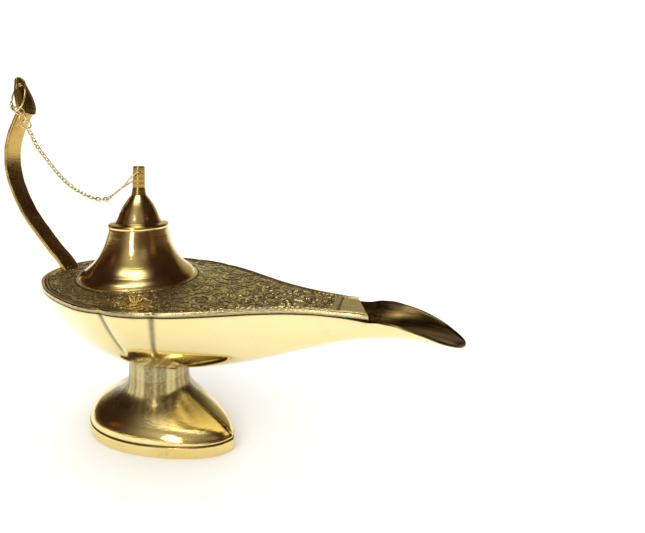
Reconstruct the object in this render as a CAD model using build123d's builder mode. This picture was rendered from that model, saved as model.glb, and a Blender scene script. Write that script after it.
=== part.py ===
from build123d import *
import math
import os

os.makedirs("parts", exist_ok=True)

# ---------------------------------------------------------------- dimensions
# Brass genie-style oil lamp.  Millimetres, +X towards the spout, +Z up.
# The pieces are drawn about the centre of the foot's stem, then moved along X
# so that the origin is on the table under the middle of the whole lamp.

FRAME_X = -12.9           # from the foot's stem to the middle of the lamp

BELL_X = -10.4            # axis of bell neck, lid and finial
PLATE_TOP = 59.0          # top of the cover plate at its edge
PLATE_T = 1.4             # cover plate thickness
RIM_Z = PLATE_TOP - PLATE_T   # seam between bowl and cover plate
PLATE_END_X = 82.0        # where the cover plate stops and the spout opens
PLATE_LIP = 0.5           # how far the plate stands out past the bowl wall
WALL = 1.5                # bowl casting wall
BOSS_R = 12.3             # round boss under the bowl, the width of the stem
BOSS_Z = 22.5             # boss's flat underside, standing on the pedestal
FLOOR_Z = 27.4            # inside floor of the bowl

CREASES = (61.0, 90.5)    # lobe creases, degrees either side of the spout
CREASE_DEPTH = 1.1
CREASE_WIDTH = 7.0        # degrees

CROWN_TOP = 60.6          # raised seat under the bell
BELL_BASE_R = 23.9
BELL_TOP_R = 12.2
BELL_TOP = 80.6
BELL_WALL = 1.2
FILL_HOLE_R = 17.0        # opening in the plate under the bell

FLANGE_R = 12.7
FLANGE_T = 1.8
CONE_R = 9.6
CONE_TOP = 94.5
FINIAL_TOP = 106.5
CROSS_HOLE_Z = 102.7
CROSS_HOLE_R = 0.85
CROSS_AXIS = (0.545, -0.750, 0.375)   # drilled a little askew

STRAP_W = 8.4             # handle strap width
STRAP_T = 1.6             # handle strap thickness
LEAF_FOLD = 17.0          # each half of the leaf tip folds forward, degrees
LEAF_HOLE_U = 14.6        # tip hole, measured up the leaf from the kink
LEAF_HOLE_R = 1.0

TIP_RING_A = 7.9          # half length of the hand-bent tip ring
TIP_RING_B = 4.6          # half width
TIP_RING_WIRE = 0.42
RING_R = 2.3              # connector rings, to the wire's centre
RING_WIRE = 0.3
LINK_L = 3.0              # fine chain link, outside length
LINK_W = 2.0              # outside width
LINK_WIRE = 0.24          # wire radius
LINK_PITCH = 1.95
LOOP_WIRE = 0.3           # plain wire through the finial

STEM_R = 12.3
BAND_H = 4.0              # upright edge round the foot
FOOT_WALL = 1.6
BOLT_R = 2.4


# ---------------------------------------------------------------- helpers
def hermite(table):
    """Monotone cubic through (x, value) pairs, flat past the ends."""
    xs = [p[0] for p in table]
    ys = [p[1] for p in table]
    n = len(xs)
    h = [xs[i + 1] - xs[i] for i in range(n - 1)]
    d = [(ys[i + 1] - ys[i]) / h[i] for i in range(n - 1)]
    m = [d[0]] + [0.0] * (n - 2) + [d[-1]]
    for i in range(1, n - 1):
        if d[i - 1] * d[i] > 0:
            w1 = 2 * h[i] + h[i - 1]
            w2 = h[i] + 2 * h[i - 1]
            m[i] = (w1 + w2) / (w1 / d[i - 1] + w2 / d[i])

    def value(x):
        if x <= xs[0]:
            return ys[0]
        if x >= xs[-1]:
            return ys[-1]
        i = max(k for k in range(n - 1) if xs[k] <= x)
        t = (x - xs[i]) / h[i]
        return (
            (2 * t**3 - 3 * t**2 + 1) * ys[i]
            + (t**3 - 2 * t**2 + t) * h[i] * m[i]
            + (-2 * t**3 + 3 * t**2) * ys[i + 1]
            + (t**3 - t**2) * h[i] * m[i + 1]
        )

    return value


# Plan of the rim: half width along the lamp, squared so the ends are round.
RIM_HALF = [
    (-53.6, 0.0), (-52.4, 7.6), (-48.6, 15.2), (-41.6, 21.9), (-33.5, 27.6),
    (-20.4, 33.2), (-8.4, 36.2), (-0.4, 36.6), (9.6, 35.2), (19.6, 32.0),
    (29.6, 27.4), (39.6, 21.8), (49.6, 16.2), (59.6, 11.9), (69.6, 9.4),
    (77.6, 8.9), (83.6, 9.7), (89.6, 11.2), (95.0, 11.8), (99.9, 11.6),
    (104.9, 10.9), (108.2, 9.2), (110.8, 6.4), (112.4, 3.2), (113.1, 0.0),
]
half_sq = hermite([(x, y * y) for x, y in RIM_HALF])


def half_width(x):
    return math.sqrt(max(half_sq(x), 0.0))


# Keel line of the bowl, seen from the side.
keel = hermite([
    (-53.6, 57.6), (-51.2, 50.6), (-49.0, 46.4), (-46.0, 41.7), (-42.5, 37.6),
    (-38.0, 33.5), (-32.9, 30.4), (-26.0, 28.0), (-18.0, 26.3), (-10.0, 25.2),
    (-2.0, 24.8), (6.0, 25.5), (14.0, 26.8), (22.0, 28.2), (31.0, 30.3),
    (42.0, 33.5), (54.0, 38.0), (66.0, 42.8), (76.0, 46.6), (83.0, 49.2),
    (86.0, 51.5), (87.4, 57.6),
])
# Keel and top edge of the open spout.
spout_keel = hermite([
    (68.0, 43.7), (76.0, 46.6), (83.0, 48.7), (89.2, 50.2), (97.0, 51.4),
    (103.0, 51.5), (108.0, 51.2), (111.0, 50.9), (113.1, 50.8),
])
spout_edge = hermite([
    (68.0, 57.6), (92.0, 57.6), (95.0, 57.4), (99.9, 56.6), (104.9, 55.1),
    (108.2, 53.9), (110.8, 52.8), (113.1, 52.0),
])


def fullness(x):
    """Section exponent: a round keel under the body, a fuller U at the spout."""
    t = min(max((x - 40.0) / 40.0, 0.0), 1.0)
    return 0.50 - 0.14 * t * t * (3 - 2 * t)


def level(z, inset=0.0, grow=0.0):
    """Half plan of the bowl at height z, as (x, y) from nose to back."""
    dense = []
    lo, hi = -53.6, 87.4
    steps = 1600
    inside = [
        lo + (hi - lo) * i / steps for i in range(steps + 1)
        if keel(lo + (hi - lo) * i / steps) + inset < z
        and half_width(lo + (hi - lo) * i / steps) > inset
    ]
    xb, xf = inside[0], inside[-1]
    for i in range(361):
        a = math.pi * i / 360
        x = (xb + xf) / 2 + (xf - xb) / 2 * math.cos(a)
        k = keel(x) + inset
        w = max(half_width(x) - inset, 0.0)
        t = max((z - k) / (RIM_Z - k), 0.0) if RIM_Z > k else 0.0
        y = w * min(t, 1.0) ** fullness(x)
        if i in (0, 360):
            y = 0.0
        dense.append((x, y))
    depth = CREASE_DEPTH * min(max((z - 27.0) / 9.0, 0.0), 1.0)
    out = []
    for x, y in dense:
        r = math.hypot(x, y)
        a = math.degrees(math.atan2(y, x))
        if r > 1.0:
            cut = sum(math.exp(-abs(a - c) / CREASE_WIDTH) for c in CREASES)
            f = 1.0 + (grow - depth * cut) / r
            x, y = x * f, y * f
        out.append((x, y))
    return out


def by_angle(points, angle):
    """Point of a half plan at a given angle about the origin."""
    for (x0, y0), (x1, y1) in zip(points, points[1:]):
        a0 = math.degrees(math.atan2(y0, x0))
        a1 = math.degrees(math.atan2(y1, x1))
        if a0 <= angle <= a1:
            t = (angle - a0) / (a1 - a0) if a1 > a0 else 0.0
            return (x0 + (x1 - x0) * t, y0 + (y1 - y0) * t)
    raise ValueError(angle)


def span(points, a0, a1, count):
    """Evenly spaced points of a half plan between two angles."""
    part = [p for p in points if a0 < math.degrees(math.atan2(p[1], p[0])) < a1]
    start = by_angle(points, a0) if a0 > 0 else points[0]
    end = by_angle(points, a1) if a1 < 180 else points[-1]
    line = [start] + part + [end]
    dist = [0.0]
    for p, q in zip(line, line[1:]):
        dist.append(dist[-1] + math.hypot(q[0] - p[0], q[1] - p[1]))
    out = []
    j = 0
    for i in range(count + 1):
        s = dist[-1] * i / count
        while j < len(dist) - 2 and dist[j + 1] < s:
            j += 1
        d = dist[j + 1] - dist[j]
        t = (s - dist[j]) / d if d > 1e-9 else 0.0
        out.append((line[j][0] + (line[j + 1][0] - line[j][0]) * t,
                    line[j][1] + (line[j + 1][1] - line[j][1]) * t))
    return out


def lobed_edges(points):
    """Four runs of a closed plan: nose, left lobe, back, right lobe."""
    a, b = CREASES
    nose = span(points, 0, a, 9)
    lobe = span(points, a, b, 4)
    back = span(points, b, 180, 7)
    flip = lambda run: [(x, -y) for x, y in reversed(run)]
    return [
        flip(nose)[:-1] + nose,
        lobe,
        back[:-1] + flip(back),
        flip(lobe),
    ]


def unit(v):
    n = math.sqrt(sum(c * c for c in v))
    return tuple(c / n for c in v)


def cross(a, b):
    return (a[1] * b[2] - a[2] * b[1], a[2] * b[0] - a[0] * b[2],
            a[0] * b[1] - a[1] * b[0])


def plus(a, b, k=1.0):
    return tuple(p + k * q for p, q in zip(a, b))


def trough(w, zk, zr, top=0.0):
    """U-shaped cross-section of the spout, closed above."""
    pts = []
    for i in range(-8, 9):
        s = abs(i) / 8.0
        pts.append((w * math.copysign(s ** 0.79, i), zk + (zr - zk) * s ** 2.2))
    Spline(*pts)
    if top:
        Polyline(pts[-1], (pts[-1][0], zr + top), (pts[0][0], zr + top), pts[0])
    else:
        Line(pts[-1], pts[0])


# ---------------------------------------------------------------- bowl
OUTER_LEVELS = (26.3, 27.4, 29.4, 32.5, 37.0, 42.0, 47.0, 52.0, RIM_Z)
INNER_LEVELS = (FLOOR_Z, 28.8, 31.2, 35.0, 40.0, 45.5, 51.0, RIM_Z)

with BuildPart() as bowl:
    # outside of the lobed body
    for z in OUTER_LEVELS:
        with BuildSketch(Plane.XY.offset(z)):
            with BuildLine():
                for run in lobed_edges(level(z)):
                    Spline(*run)
            make_face()
    loft()
    # outside of the spout
    for x in (64.0, 71.0, 78.0, 84.0, 90.0, 96.0, 101.5, 106.5, 110.5, 112.7):
        blend = min(max((x - 64.0) / 22.0, 0.0), 1.0)
        w = half_width(x) * (0.93 + 0.07 * blend)
        zk = max(spout_keel(x), keel(x) if x < 80 else 0.0) + 0.8 * (1 - blend)
        zr = spout_edge(x)
        with BuildSketch(Plane(origin=(x, 0, 0), x_dir=(0, 1, 0), z_dir=(1, 0, 0))):
            with BuildLine():
                trough(w, zk, zr)
            make_face()
    loft()
    # boss that stands on the pedestal
    with BuildSketch(Plane.XY.offset(BOSS_Z)):
        Circle(BOSS_R)
    extrude(amount=8.0)
    # oil space
    for z in INNER_LEVELS:
        with BuildSketch(Plane.XY.offset(z + (0.4 if z == RIM_Z else 0.0))):
            with BuildLine():
                for run in lobed_edges(level(z, inset=WALL)):
                    Spline(*run)
            make_face()
    loft(mode=Mode.SUBTRACT)
    # open channel of the spout
    for x in (60.0, 67.0, 74.0, 81.0, 87.0, 93.0, 98.5, 103.5, 108.0, 111.0):
        blend = min(max((x - 60.0) / 24.0, 0.0), 1.0)
        w = max(half_width(x) * (0.80 + 0.20 * blend) - 1.3, 1.0)
        zr = spout_edge(x) + 0.02
        zk = min(max(spout_keel(x), keel(x) if x < 80 else 0.0) + 1.2 + 2.0 * (1 - blend), zr - 0.5)
        with BuildSketch(Plane(origin=(x, 0, 0), x_dir=(0, 1, 0), z_dir=(1, 0, 0))):
            with BuildLine():
                trough(w, zk, zr, top=6.0)
            make_face()
    loft(mode=Mode.SUBTRACT)
    # level the seam that the cover plate sits on
    with BuildSketch(Plane.XY.offset(RIM_Z)):
        Rectangle(400, 120)
    extrude(amount=5.0, mode=Mode.SUBTRACT)
    # hole for the bolt to the pedestal
    with BuildSketch(Plane.XY.offset(20.0)):
        Circle(BOLT_R + 0.1)
    extrude(amount=9.0, mode=Mode.SUBTRACT)
bowl.part.label = "bowl"

# ---------------------------------------------------------------- cover plate
rim = level(RIM_Z, grow=PLATE_LIP)
rim = [p for p in rim if p[0] < PLATE_END_X]
end_w = half_width(PLATE_END_X) - 0.9
nose_run = [(PLATE_END_X, end_w)] + [
    (x, half_width(x) + PLATE_LIP - 1.3 * max(0.0, (x - 70.0) / 12.0)) for x in (78.0, 74.0, 68.0, 62.0, 54.0, 46.0, 38.0, 29.0)
]
plate_outer = level(RIM_Z, grow=PLATE_LIP)
cusp = by_angle(plate_outer, CREASES[0])
nose_run = [p for p in nose_run if p[0] > cusp[0] + 6.0] + [cusp]
lobe_run = span(plate_outer, CREASES[0], CREASES[1], 4)
back_run = span(plate_outer, CREASES[1], 180, 7)
mirror_run = lambda run: [(x, -y) for x, y in reversed(run)]

slot_x = -48.4            # where the handle's tang passes through the plate
with BuildPart() as top_plate:
    with BuildSketch(Plane.XY.offset(RIM_Z)):
        with BuildLine():
            Spline(*nose_run)
            Spline(*lobe_run)
            Spline(*(back_run[:-1] + mirror_run(back_run)))
            Spline(*mirror_run(lobe_run))
            Spline(*mirror_run(nose_run))
            Line((PLATE_END_X, -end_w), (PLATE_END_X, end_w))
        make_face()
    extrude(amount=PLATE_T)
    # raised seat under the bell
    with BuildSketch(Plane(origin=(BELL_X, 0, 0), x_dir=(1, 0, 0), z_dir=(0, -1, 0))):
        with BuildLine():
            Polyline((0, PLATE_TOP - 0.3), (31.0, PLATE_TOP - 0.3), (31.0, PLATE_TOP),
                     (24.6, CROWN_TOP), (0, CROWN_TOP), close=True)
        make_face()
    revolve(axis=Axis((BELL_X, 0, 0), (0, 0, 1)))
    with BuildSketch(Plane.XY.offset(RIM_Z - 1.0)):
        with Locations((BELL_X, 0)):
            Circle(FILL_HOLE_R)
        with Locations((slot_x, 0)):
            Rectangle(2.6, 5.2)
    extrude(amount=6.0, mode=Mode.SUBTRACT)
top_plate.part.label = "top_plate"

# ---------------------------------------------------------------- bell neck
with BuildPart() as bell_neck:
    with BuildSketch(Plane(origin=(BELL_X, 0, 0), x_dir=(1, 0, 0), z_dir=(0, -1, 0))):
        with BuildLine():
            Line((BELL_BASE_R, CROWN_TOP), (BELL_BASE_R, CROWN_TOP + 1.2))
            Spline((BELL_BASE_R, CROWN_TOP + 1.2), (23.3, 64.2), (21.5, 66.3), (18.7, 68.9),
                   (16.5, 71.7), (14.9, 74.9), (13.4, 78.3), (BELL_TOP_R, BELL_TOP))
            Line((BELL_TOP_R, BELL_TOP), (BELL_TOP_R - BELL_WALL, BELL_TOP))
            Line((BELL_TOP_R - BELL_WALL, BELL_TOP), (BELL_TOP_R - BELL_WALL, 77.6))
            Spline((BELL_TOP_R - BELL_WALL, 77.6), (12.9, 74.6), (14.9, 71.3),
                   (18.4, 67.2), (20.9, 64.6), (22.0, CROWN_TOP))
            Line((22.0, CROWN_TOP), (BELL_BASE_R, CROWN_TOP))
        make_face()
    revolve(axis=Axis((BELL_X, 0, 0), (0, 0, 1)))
bell_neck.part.label = "bell_neck"

# ---------------------------------------------------------------- lid
LID_Z = BELL_TOP + 0.05
with BuildPart() as lid_cap:
    with BuildSketch(Plane(origin=(BELL_X, 0, 0), x_dir=(1, 0, 0), z_dir=(0, -1, 0))):
        with BuildLine():
            Polyline((FLANGE_R, LID_Z), (FLANGE_R, LID_Z + FLANGE_T - 0.35), (FLANGE_R - 0.4, LID_Z + FLANGE_T),
                     (CONE_R + 0.5, LID_Z + FLANGE_T + 0.1), (CONE_R, LID_Z + FLANGE_T + 0.3))
            Spline((CONE_R, LID_Z + FLANGE_T + 0.3), (8.75, 84.9), (7.55, 87.7),
                   (5.9, 90.6), (3.95, 93.2), (2.7, CONE_TOP))
            Polyline((2.7, CONE_TOP), (1.3, CONE_TOP), (1.3, 90.2), (2.6, 90.2))
            Spline((2.6, 90.2), (4.6, 88.6), (6.4, 85.6), (7.4, 82.6))
            Polyline((7.4, 82.6), (9.4, 80.2), (9.4, LID_Z - 4.0), (10.75, LID_Z - 4.0),
                     (10.75, LID_Z), (FLANGE_R, LID_Z))
        make_face()
    revolve(axis=Axis((BELL_X, 0, 0), (0, 0, 1)))
lid_cap.part.label = "lid_cap"

with BuildPart() as finial:
    with BuildSketch(Plane(origin=(BELL_X, 0, 0), x_dir=(1, 0, 0), z_dir=(0, -1, 0))):
        with BuildLine():
            Polyline((0, 89.2), (1.9, 89.2), (1.9, 90.2), (1.3, 90.2), (1.3, CONE_TOP),
                     (3.0, CONE_TOP), (2.95, 95.3), (2.6, 97.2), (2.5, 105.9))
            ThreePointArc((2.5, 105.9), (2.32, 106.34), (1.9, FINIAL_TOP))
            Polyline((1.9, FINIAL_TOP), (0, FINIAL_TOP), (0, 89.2))
        make_face()
    revolve(axis=Axis((BELL_X, 0, 0), (0, 0, 1)))
    with BuildSketch(Plane(origin=(BELL_X, 0, CROSS_HOLE_Z), x_dir=(0, 0, 1), z_dir=CROSS_AXIS)):
        Circle(CROSS_HOLE_R)
    extrude(amount=6.0, both=True, mode=Mode.SUBTRACT)
finial.part.label = "finial"

# ---------------------------------------------------------------- handle
# front face of the strap in the lamp's middle plane, from the plate upwards
STRAP = [(-47.0, 59.0), (-50.3, 62.3), (-54.6, 65.9), (-62.4, 72.8), (-70.1, 80.2),
         (-76.3, 87.6), (-81.0, 95.3), (-84.2, 103.2), (-85.3, 111.1), (-83.9, 119.1),
         (-80.6, 126.3), (-76.6, 132.3)]


def behind(points, gap):
    out = []
    for i, (x, z) in enumerate(points):
        a = points[max(i - 1, 0)]
        b = points[min(i + 1, len(points) - 1)]
        dx, dz = b[0] - a[0], b[1] - a[1]
        n = math.hypot(dx, dz)
        out.append((x - dz / n * gap, z + dx / n * gap))
    return out


strap_back = behind(STRAP, STRAP_T)
strap_back[0] = (strap_back[0][0] - 1.0, 59.0)
KINK = (-76.6, 0.0, 132.3)
LEAF_UP = unit((-5.5, 0.0, 17.9))
LEAF_N = (LEAF_UP[2], 0.0, -LEAF_UP[0])
leaf_half = [(-0.6, 4.6), (1.2, 5.1), (4.0, 5.3), (7.5, 5.0), (11.0, 4.2),
             (14.5, 3.1), (17.2, 1.7), (18.6, 0.0)]

with BuildPart() as handle:
    with BuildSketch(Plane.XZ):
        with BuildLine():
            Spline(*STRAP)
            Line(STRAP[-1], strap_back[-1])
            Spline(*reversed(strap_back))
            Line(strap_back[0], STRAP[0])
        make_face()
    extrude(amount=STRAP_W / 2, both=True)
    # tang through the plate
    with BuildSketch(Plane.XY.offset(RIM_Z - 1.6)):
        with Locations((slot_x, 0)):
            Rectangle(1.7, 4.4)
    extrude(amount=4.2)
    # folded leaf tip, one half each side of its middle line
    for side in (1.0, -1.0):
        a = math.radians(LEAF_FOLD)
        across = unit(plus((0.0, side * math.cos(a), 0.0), LEAF_N, math.sin(a)))
        normal = cross(LEAF_UP, across)
        flat = Plane(origin=KINK, x_dir=LEAF_UP, z_dir=normal)
        sign = 1.0
        with BuildSketch(flat):
            with BuildLine():
                Spline(*[(u, sign * w) for u, w in leaf_half])
                Polyline((leaf_half[-1][0], 0.0), (leaf_half[-1][0], -0.01), (-1.0, -0.01),
                         (-1.0, sign * 4.4), (leaf_half[0][0], sign * leaf_half[0][1]))
            make_face()
        # thickness goes to the rear
        extrude(amount=1.4 if side < 0 else -1.4)
    with BuildSketch(Plane(origin=plus(KINK, LEAF_UP, LEAF_HOLE_U), x_dir=LEAF_UP, z_dir=LEAF_N)):
        Circle(LEAF_HOLE_R)
    extrude(amount=5.0, both=True, mode=Mode.SUBTRACT)
handle.part.label = "handle"

# ---------------------------------------------------------------- foot
# base plan: round behind, drawn to a point in front
BASE_HALF = [(36.0, 0.0), (33.6, 4.3), (29.4, 8.6), (22.6, 13.0), (13.4, 17.3), (3.0, 20.7),
             (-7.0, 22.0), (-16.6, 20.5), (-23.6, 15.4), (-27.8, 8.4), (-29.2, 0.0)]
# how far the plan has grown from stem to base, from the top down
FLARE = [(22.5, 0.035), (20.5, 0.0), (18.0, 0.01), (16.2, 0.06), (14.6, 0.155), (13.0, 0.30), (11.5, 0.47),
         (10.0, 0.64), (8.5, 0.80), (7.0, 0.91), (5.6, 0.97), (BAND_H, 1.0), (0.0, 1.0)]
FOOT_TURN = -7.0          # the foot sits turned a little about its bolt, degrees


def foot_plan(grow, shrink=0.0):
    """Half plan between the stem's circle (0) and the base (1)."""
    out = []
    for x, y in BASE_HALF:
        a = math.atan2(y, x)
        r1 = math.hypot(x, y)
        r = STEM_R + (r1 - STEM_R) * grow - shrink
        out.append((r * math.cos(a), abs(r * math.sin(a))))
    out[0] = (out[0][0], 0.0)
    out[-1] = (out[-1][0], 0.0)
    return out


def foot_face(grow, shrink=0.0):
    pts = foot_plan(grow, shrink)
    tip = unit((pts[1][0] - pts[0][0] + 0.8 * (1 - grow) * (pts[0][0] - pts[1][0]), pts[1][1] - pts[0][1], 0))
    back = (0.0, -1.0, 0.0)
    Spline(*pts, tangents=[tip, back])
    Spline(*[(x, -y) for x, y in reversed(pts)], tangents=[back, (-tip[0], tip[1], 0)])


with BuildPart() as foot:
    for z, grow in FLARE:
        with BuildSketch(Plane.XY.offset(z)):
            with BuildLine():
                foot_face(grow)
            make_face()
    loft()
    for z, grow in FLARE[1:]:
        zi = z - 1.5 if z > BAND_H else (BAND_H - 1.5 if z == BAND_H else -0.5)
        with BuildSketch(Plane.XY.offset(zi)):
            with BuildLine():
                foot_face(grow, FOOT_WALL)
            make_face()
    loft(mode=Mode.SUBTRACT)
    with BuildSketch(Plane.XY.offset(15.0)):
        Circle(BOLT_R + 0.1)
    extrude(amount=12.0, mode=Mode.SUBTRACT)
foot.part.label = "foot"

# bolt, washer and nut that clamp the bowl to the pedestal
INNER_TOP = 19.0
with BuildPart() as foot_bolt:
    with BuildSketch(Plane.XY.offset(FLOOR_Z)):
        Circle(4.4)
    extrude(amount=1.6)
    fillet(foot_bolt.edges().group_by(Axis.Z)[-1], 0.6)
    with BuildSketch(Plane.XY.offset(12.2)):
        Circle(BOLT_R)
    extrude(amount=FLOOR_Z - 12.2 + 0.2)
foot_bolt.part.label = "foot_bolt"

with BuildPart() as foot_washer:
    with BuildSketch(Plane.XY.offset(INNER_TOP - 1.0)):
        Circle(6.0)
        Circle(BOLT_R + 0.2, mode=Mode.SUBTRACT)
    extrude(amount=1.0)
foot_washer.part.label = "foot_washer"

with BuildPart() as foot_nut:
    with BuildSketch(Plane.XY.offset(INNER_TOP - 5.0)):
        RegularPolygon(4.6, 6)
        Circle(BOLT_R, mode=Mode.SUBTRACT)
    extrude(amount=4.0)
foot_nut.part.label = "foot_nut"

# ---------------------------------------------------------------- tip ring
HOLE = plus(plus(KINK, LEAF_UP, LEAF_HOLE_U), LEAF_N, -0.7)
ring_down = unit((6.4, -6.2, -13.5))
ring_out = unit(plus(LEAF_N, ring_down, -sum(a * b for a, b in zip(LEAF_N, ring_down))))
ring_normal = cross(ring_down, ring_out)
ring_centre = plus(HOLE, ring_down, TIP_RING_A)
ring_points = [
    plus(plus(ring_centre, ring_down, -TIP_RING_A * math.cos(math.pi * i / 8)),
         ring_out, TIP_RING_B * math.sin(math.pi * i / 8))
    for i in range(16)
]
with BuildPart() as tip_ring:
    with BuildLine() as ring_path:
        Spline(*ring_points, periodic=True)
    with BuildSketch(Plane(origin=ring_path.line @ 0, z_dir=ring_path.line % 0)):
        Circle(TIP_RING_WIRE)
    sweep(path=ring_path.line)
tip_ring.part.label = "tip_ring"

# ---------------------------------------------------------------- connector rings
hook = plus(ring_centre, ring_down, TIP_RING_A * 0.985)
hook = plus(hook, ring_out, TIP_RING_B * 0.17)
RING_ONE = plus(hook, unit((1.6, -0.75, -1.3)), RING_R - TIP_RING_WIRE - RING_WIRE - 0.22)
CHAIN_START = (-66.9, -5.8, 121.2)
ring_dir = unit(plus(CHAIN_START, RING_ONE, -1.0))
ring_gap = 3.85
side_a = unit(cross(ring_dir, (0.2, 1.0, 0.1)))
side_b = cross(ring_dir, side_a)
rings = []
for i in range(3):
    c = plus(RING_ONE, ring_dir, ring_gap * i)
    rings.append((c, side_a if i % 2 == 0 else side_b))

with BuildPart() as connector_rings:
    for c, n in rings:
        with BuildSketch(Plane(origin=plus(c, cross(n, ring_dir), RING_R), x_dir=n, z_dir=ring_dir)):
            Circle(RING_WIRE)
        revolve(axis=Axis(c, n))
connector_rings.part.label = "connector_rings"

# ---------------------------------------------------------------- fine chain
last_ring = rings[-1][0]
first_link = plus(last_ring, ring_dir, RING_R - RING_WIRE - LINK_WIRE - 0.1 + LINK_L / 2 - LINK_WIRE)
CHAIN = [first_link, (-64.98, -5.62, 118.2), (-62.7, -5.41, 114.7), (-59.31, -5.09, 110.97),
         (-55.96, -4.77, 107.27), (-52.6, -4.47, 103.8), (-48.6, -4.07, 100.1),
         (-43.2, -3.51, 96.4), (-37.14, -2.89, 93.5), (-31.2, -2.25, 91.75), (-26.6, -1.77, 91.7)]
with BuildLine() as chain_line:
    Spline(*CHAIN)
chain_edge = chain_line.edges()[0]
links = int(round((chain_edge.length) / LINK_PITCH)) + 1
pitch = chain_edge.length / (links - 1)
print("links", links, "pitch", round(pitch, 3), "inner length", LINK_L - 4 * LINK_WIRE)

straight = LINK_L / 2 - LINK_W / 2
bend = LINK_W / 2 - LINK_WIRE
with BuildPart() as link:
    with BuildLine() as link_path:
        Line((-straight, -bend), (straight, -bend))
        CenterArc((straight, 0), bend, -90, 180)
        Line((straight, bend), (-straight, bend))
        CenterArc((-straight, 0), bend, 90, 180)
    with BuildSketch(Plane(origin=(0, -bend, 0), z_dir=(1, 0, 0))):
        Circle(LINK_WIRE)
    sweep(path=link_path.line)

link_places = []
for i in range(links):
    p = chain_edge.position_at(i / (links - 1))
    d = chain_edge.tangent_at(i / (links - 1))
    d = unit((d.X, d.Y, d.Z))
    s = unit(cross(d, (0.15, 1.0, 0.0)))
    if i % 2 == 0:
        s = cross(d, s)
    link_places.append(Location(Plane(origin=(p.X, p.Y, p.Z), x_dir=d, z_dir=s)))

with BuildPart() as chain_links:
    with Locations(*link_places):
        add(link.part)
chain_links.part.label = "chain_links"

# ---------------------------------------------------------------- lid wire
# one plain wire: a loop through the finial, a twist, and an eye on the chain
hole_mid = (BELL_X, 0.0, CROSS_HOLE_Z)
last_p = chain_edge.position_at(1)
last_d = chain_edge.tangent_at(1)
last_dir = unit((last_d.X, last_d.Y, last_d.Z))
eye_r = 1.25
wire_dir = unit(plus(hole_mid, (last_p.X, last_p.Y, last_p.Z), -1.0))
eye = plus(plus((last_p.X, last_p.Y, last_p.Z), last_dir, 0.62), wire_dir, eye_r)
join = plus(hole_mid, plus(eye, hole_mid, -1.0), 0.52)
to_join = unit(plus(join, hole_mid, -1.0))
join_len = math.dist(join, hole_mid)
across = unit(plus(CROSS_AXIS, to_join, -sum(a * b for a, b in zip(CROSS_AXIS, to_join))))


def loop_at(along, side):
    """Point of the wire loop: distance towards the twist, and to one side."""
    return plus(plus(hole_mid, to_join, along), across, side)


def through(k):
    return plus(hole_mid, CROSS_AXIS, k)


loop_points = [
    through(-3.0), through(-1.5), through(0.0), through(1.5), through(3.0),
    plus(through(4.6), to_join, 0.5), plus(through(4.9), to_join, 2.6),
    loop_at(join_len * 0.55, 2.4), loop_at(join_len * 0.85, 0.75), loop_at(join_len, 0.0),
    loop_at(join_len * 0.85, -0.75), loop_at(join_len * 0.5, -2.5),
    plus(through(-4.4), to_join, 2.0), plus(through(-4.2), to_join, 0.5),
]
with BuildPart() as lid_wire:
    with BuildLine() as loop_line:
        Spline(*loop_points, periodic=True)
    with BuildSketch(Plane(origin=loop_line.line @ 0, z_dir=loop_line.line % 0)):
        Circle(LOOP_WIRE)
    sweep(path=loop_line.line)
    # twisted stem
    stem_dir = unit(plus(eye, join, -1.0))
    stem_len = math.dist(eye, join) - eye_r
    with BuildSketch(Plane(origin=plus(join, stem_dir, -1.9), z_dir=stem_dir)):
        Circle(0.42)
    extrude(amount=stem_len + 2.0)
    # eye
    eye_n = unit(cross(stem_dir, (0.1, 1.0, 0.0)))
    if (links - 1) % 2:
        eye_n = cross(stem_dir, eye_n)
    with BuildSketch(Plane(origin=plus(eye, stem_dir, eye_r), x_dir=eye_n, z_dir=cross(stem_dir, eye_n))):
        Circle(LOOP_WIRE)
    revolve(axis=Axis(eye, eye_n))
lid_wire.part.label = "lid_wire"

# ---------------------------------------------------------------- write
foot.part.move(Location((0, 0, 0), (0, 0, FOOT_TURN)))
for piece in (bowl, top_plate, bell_neck, lid_cap, finial, handle, foot, foot_bolt, foot_washer,
              foot_nut, tip_ring, connector_rings, chain_links, lid_wire):
    piece.part.move(Location((FRAME_X, 0, 0)))

export_step(bowl.part, "parts/bowl.step")
export_step(top_plate.part, "parts/top_plate.step")
export_step(bell_neck.part, "parts/bell_neck.step")
export_step(lid_cap.part, "parts/lid_cap.step")
export_step(finial.part, "parts/finial.step")
export_step(handle.part, "parts/handle.step")
export_step(foot.part, "parts/foot.step")
export_step(foot_bolt.part, "parts/foot_bolt.step")
export_step(foot_washer.part, "parts/foot_washer.step")
export_step(foot_nut.part, "parts/foot_nut.step")
export_step(tip_ring.part, "parts/tip_ring.step")
export_step(connector_rings.part, "parts/connector_rings.step")
export_step(chain_links.part, "parts/chain_links.step")
export_step(lid_wire.part, "parts/lid_wire.step")
for piece in (bowl, top_plate, bell_neck, lid_cap, finial, handle, foot, foot_bolt, foot_washer,
              foot_nut, tip_ring, connector_rings, chain_links, lid_wire):
    box = piece.part.bounding_box()
    print(piece.part.label, len(piece.part.solids()), round(piece.part.volume, 1),
          [round(v, 1) for v in (box.min.X, box.min.Y, box.min.Z, box.max.X, box.max.Y, box.max.Z)])
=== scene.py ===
import bpy
import bmesh
import math
import numpy as np
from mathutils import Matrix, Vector, kdtree


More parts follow.
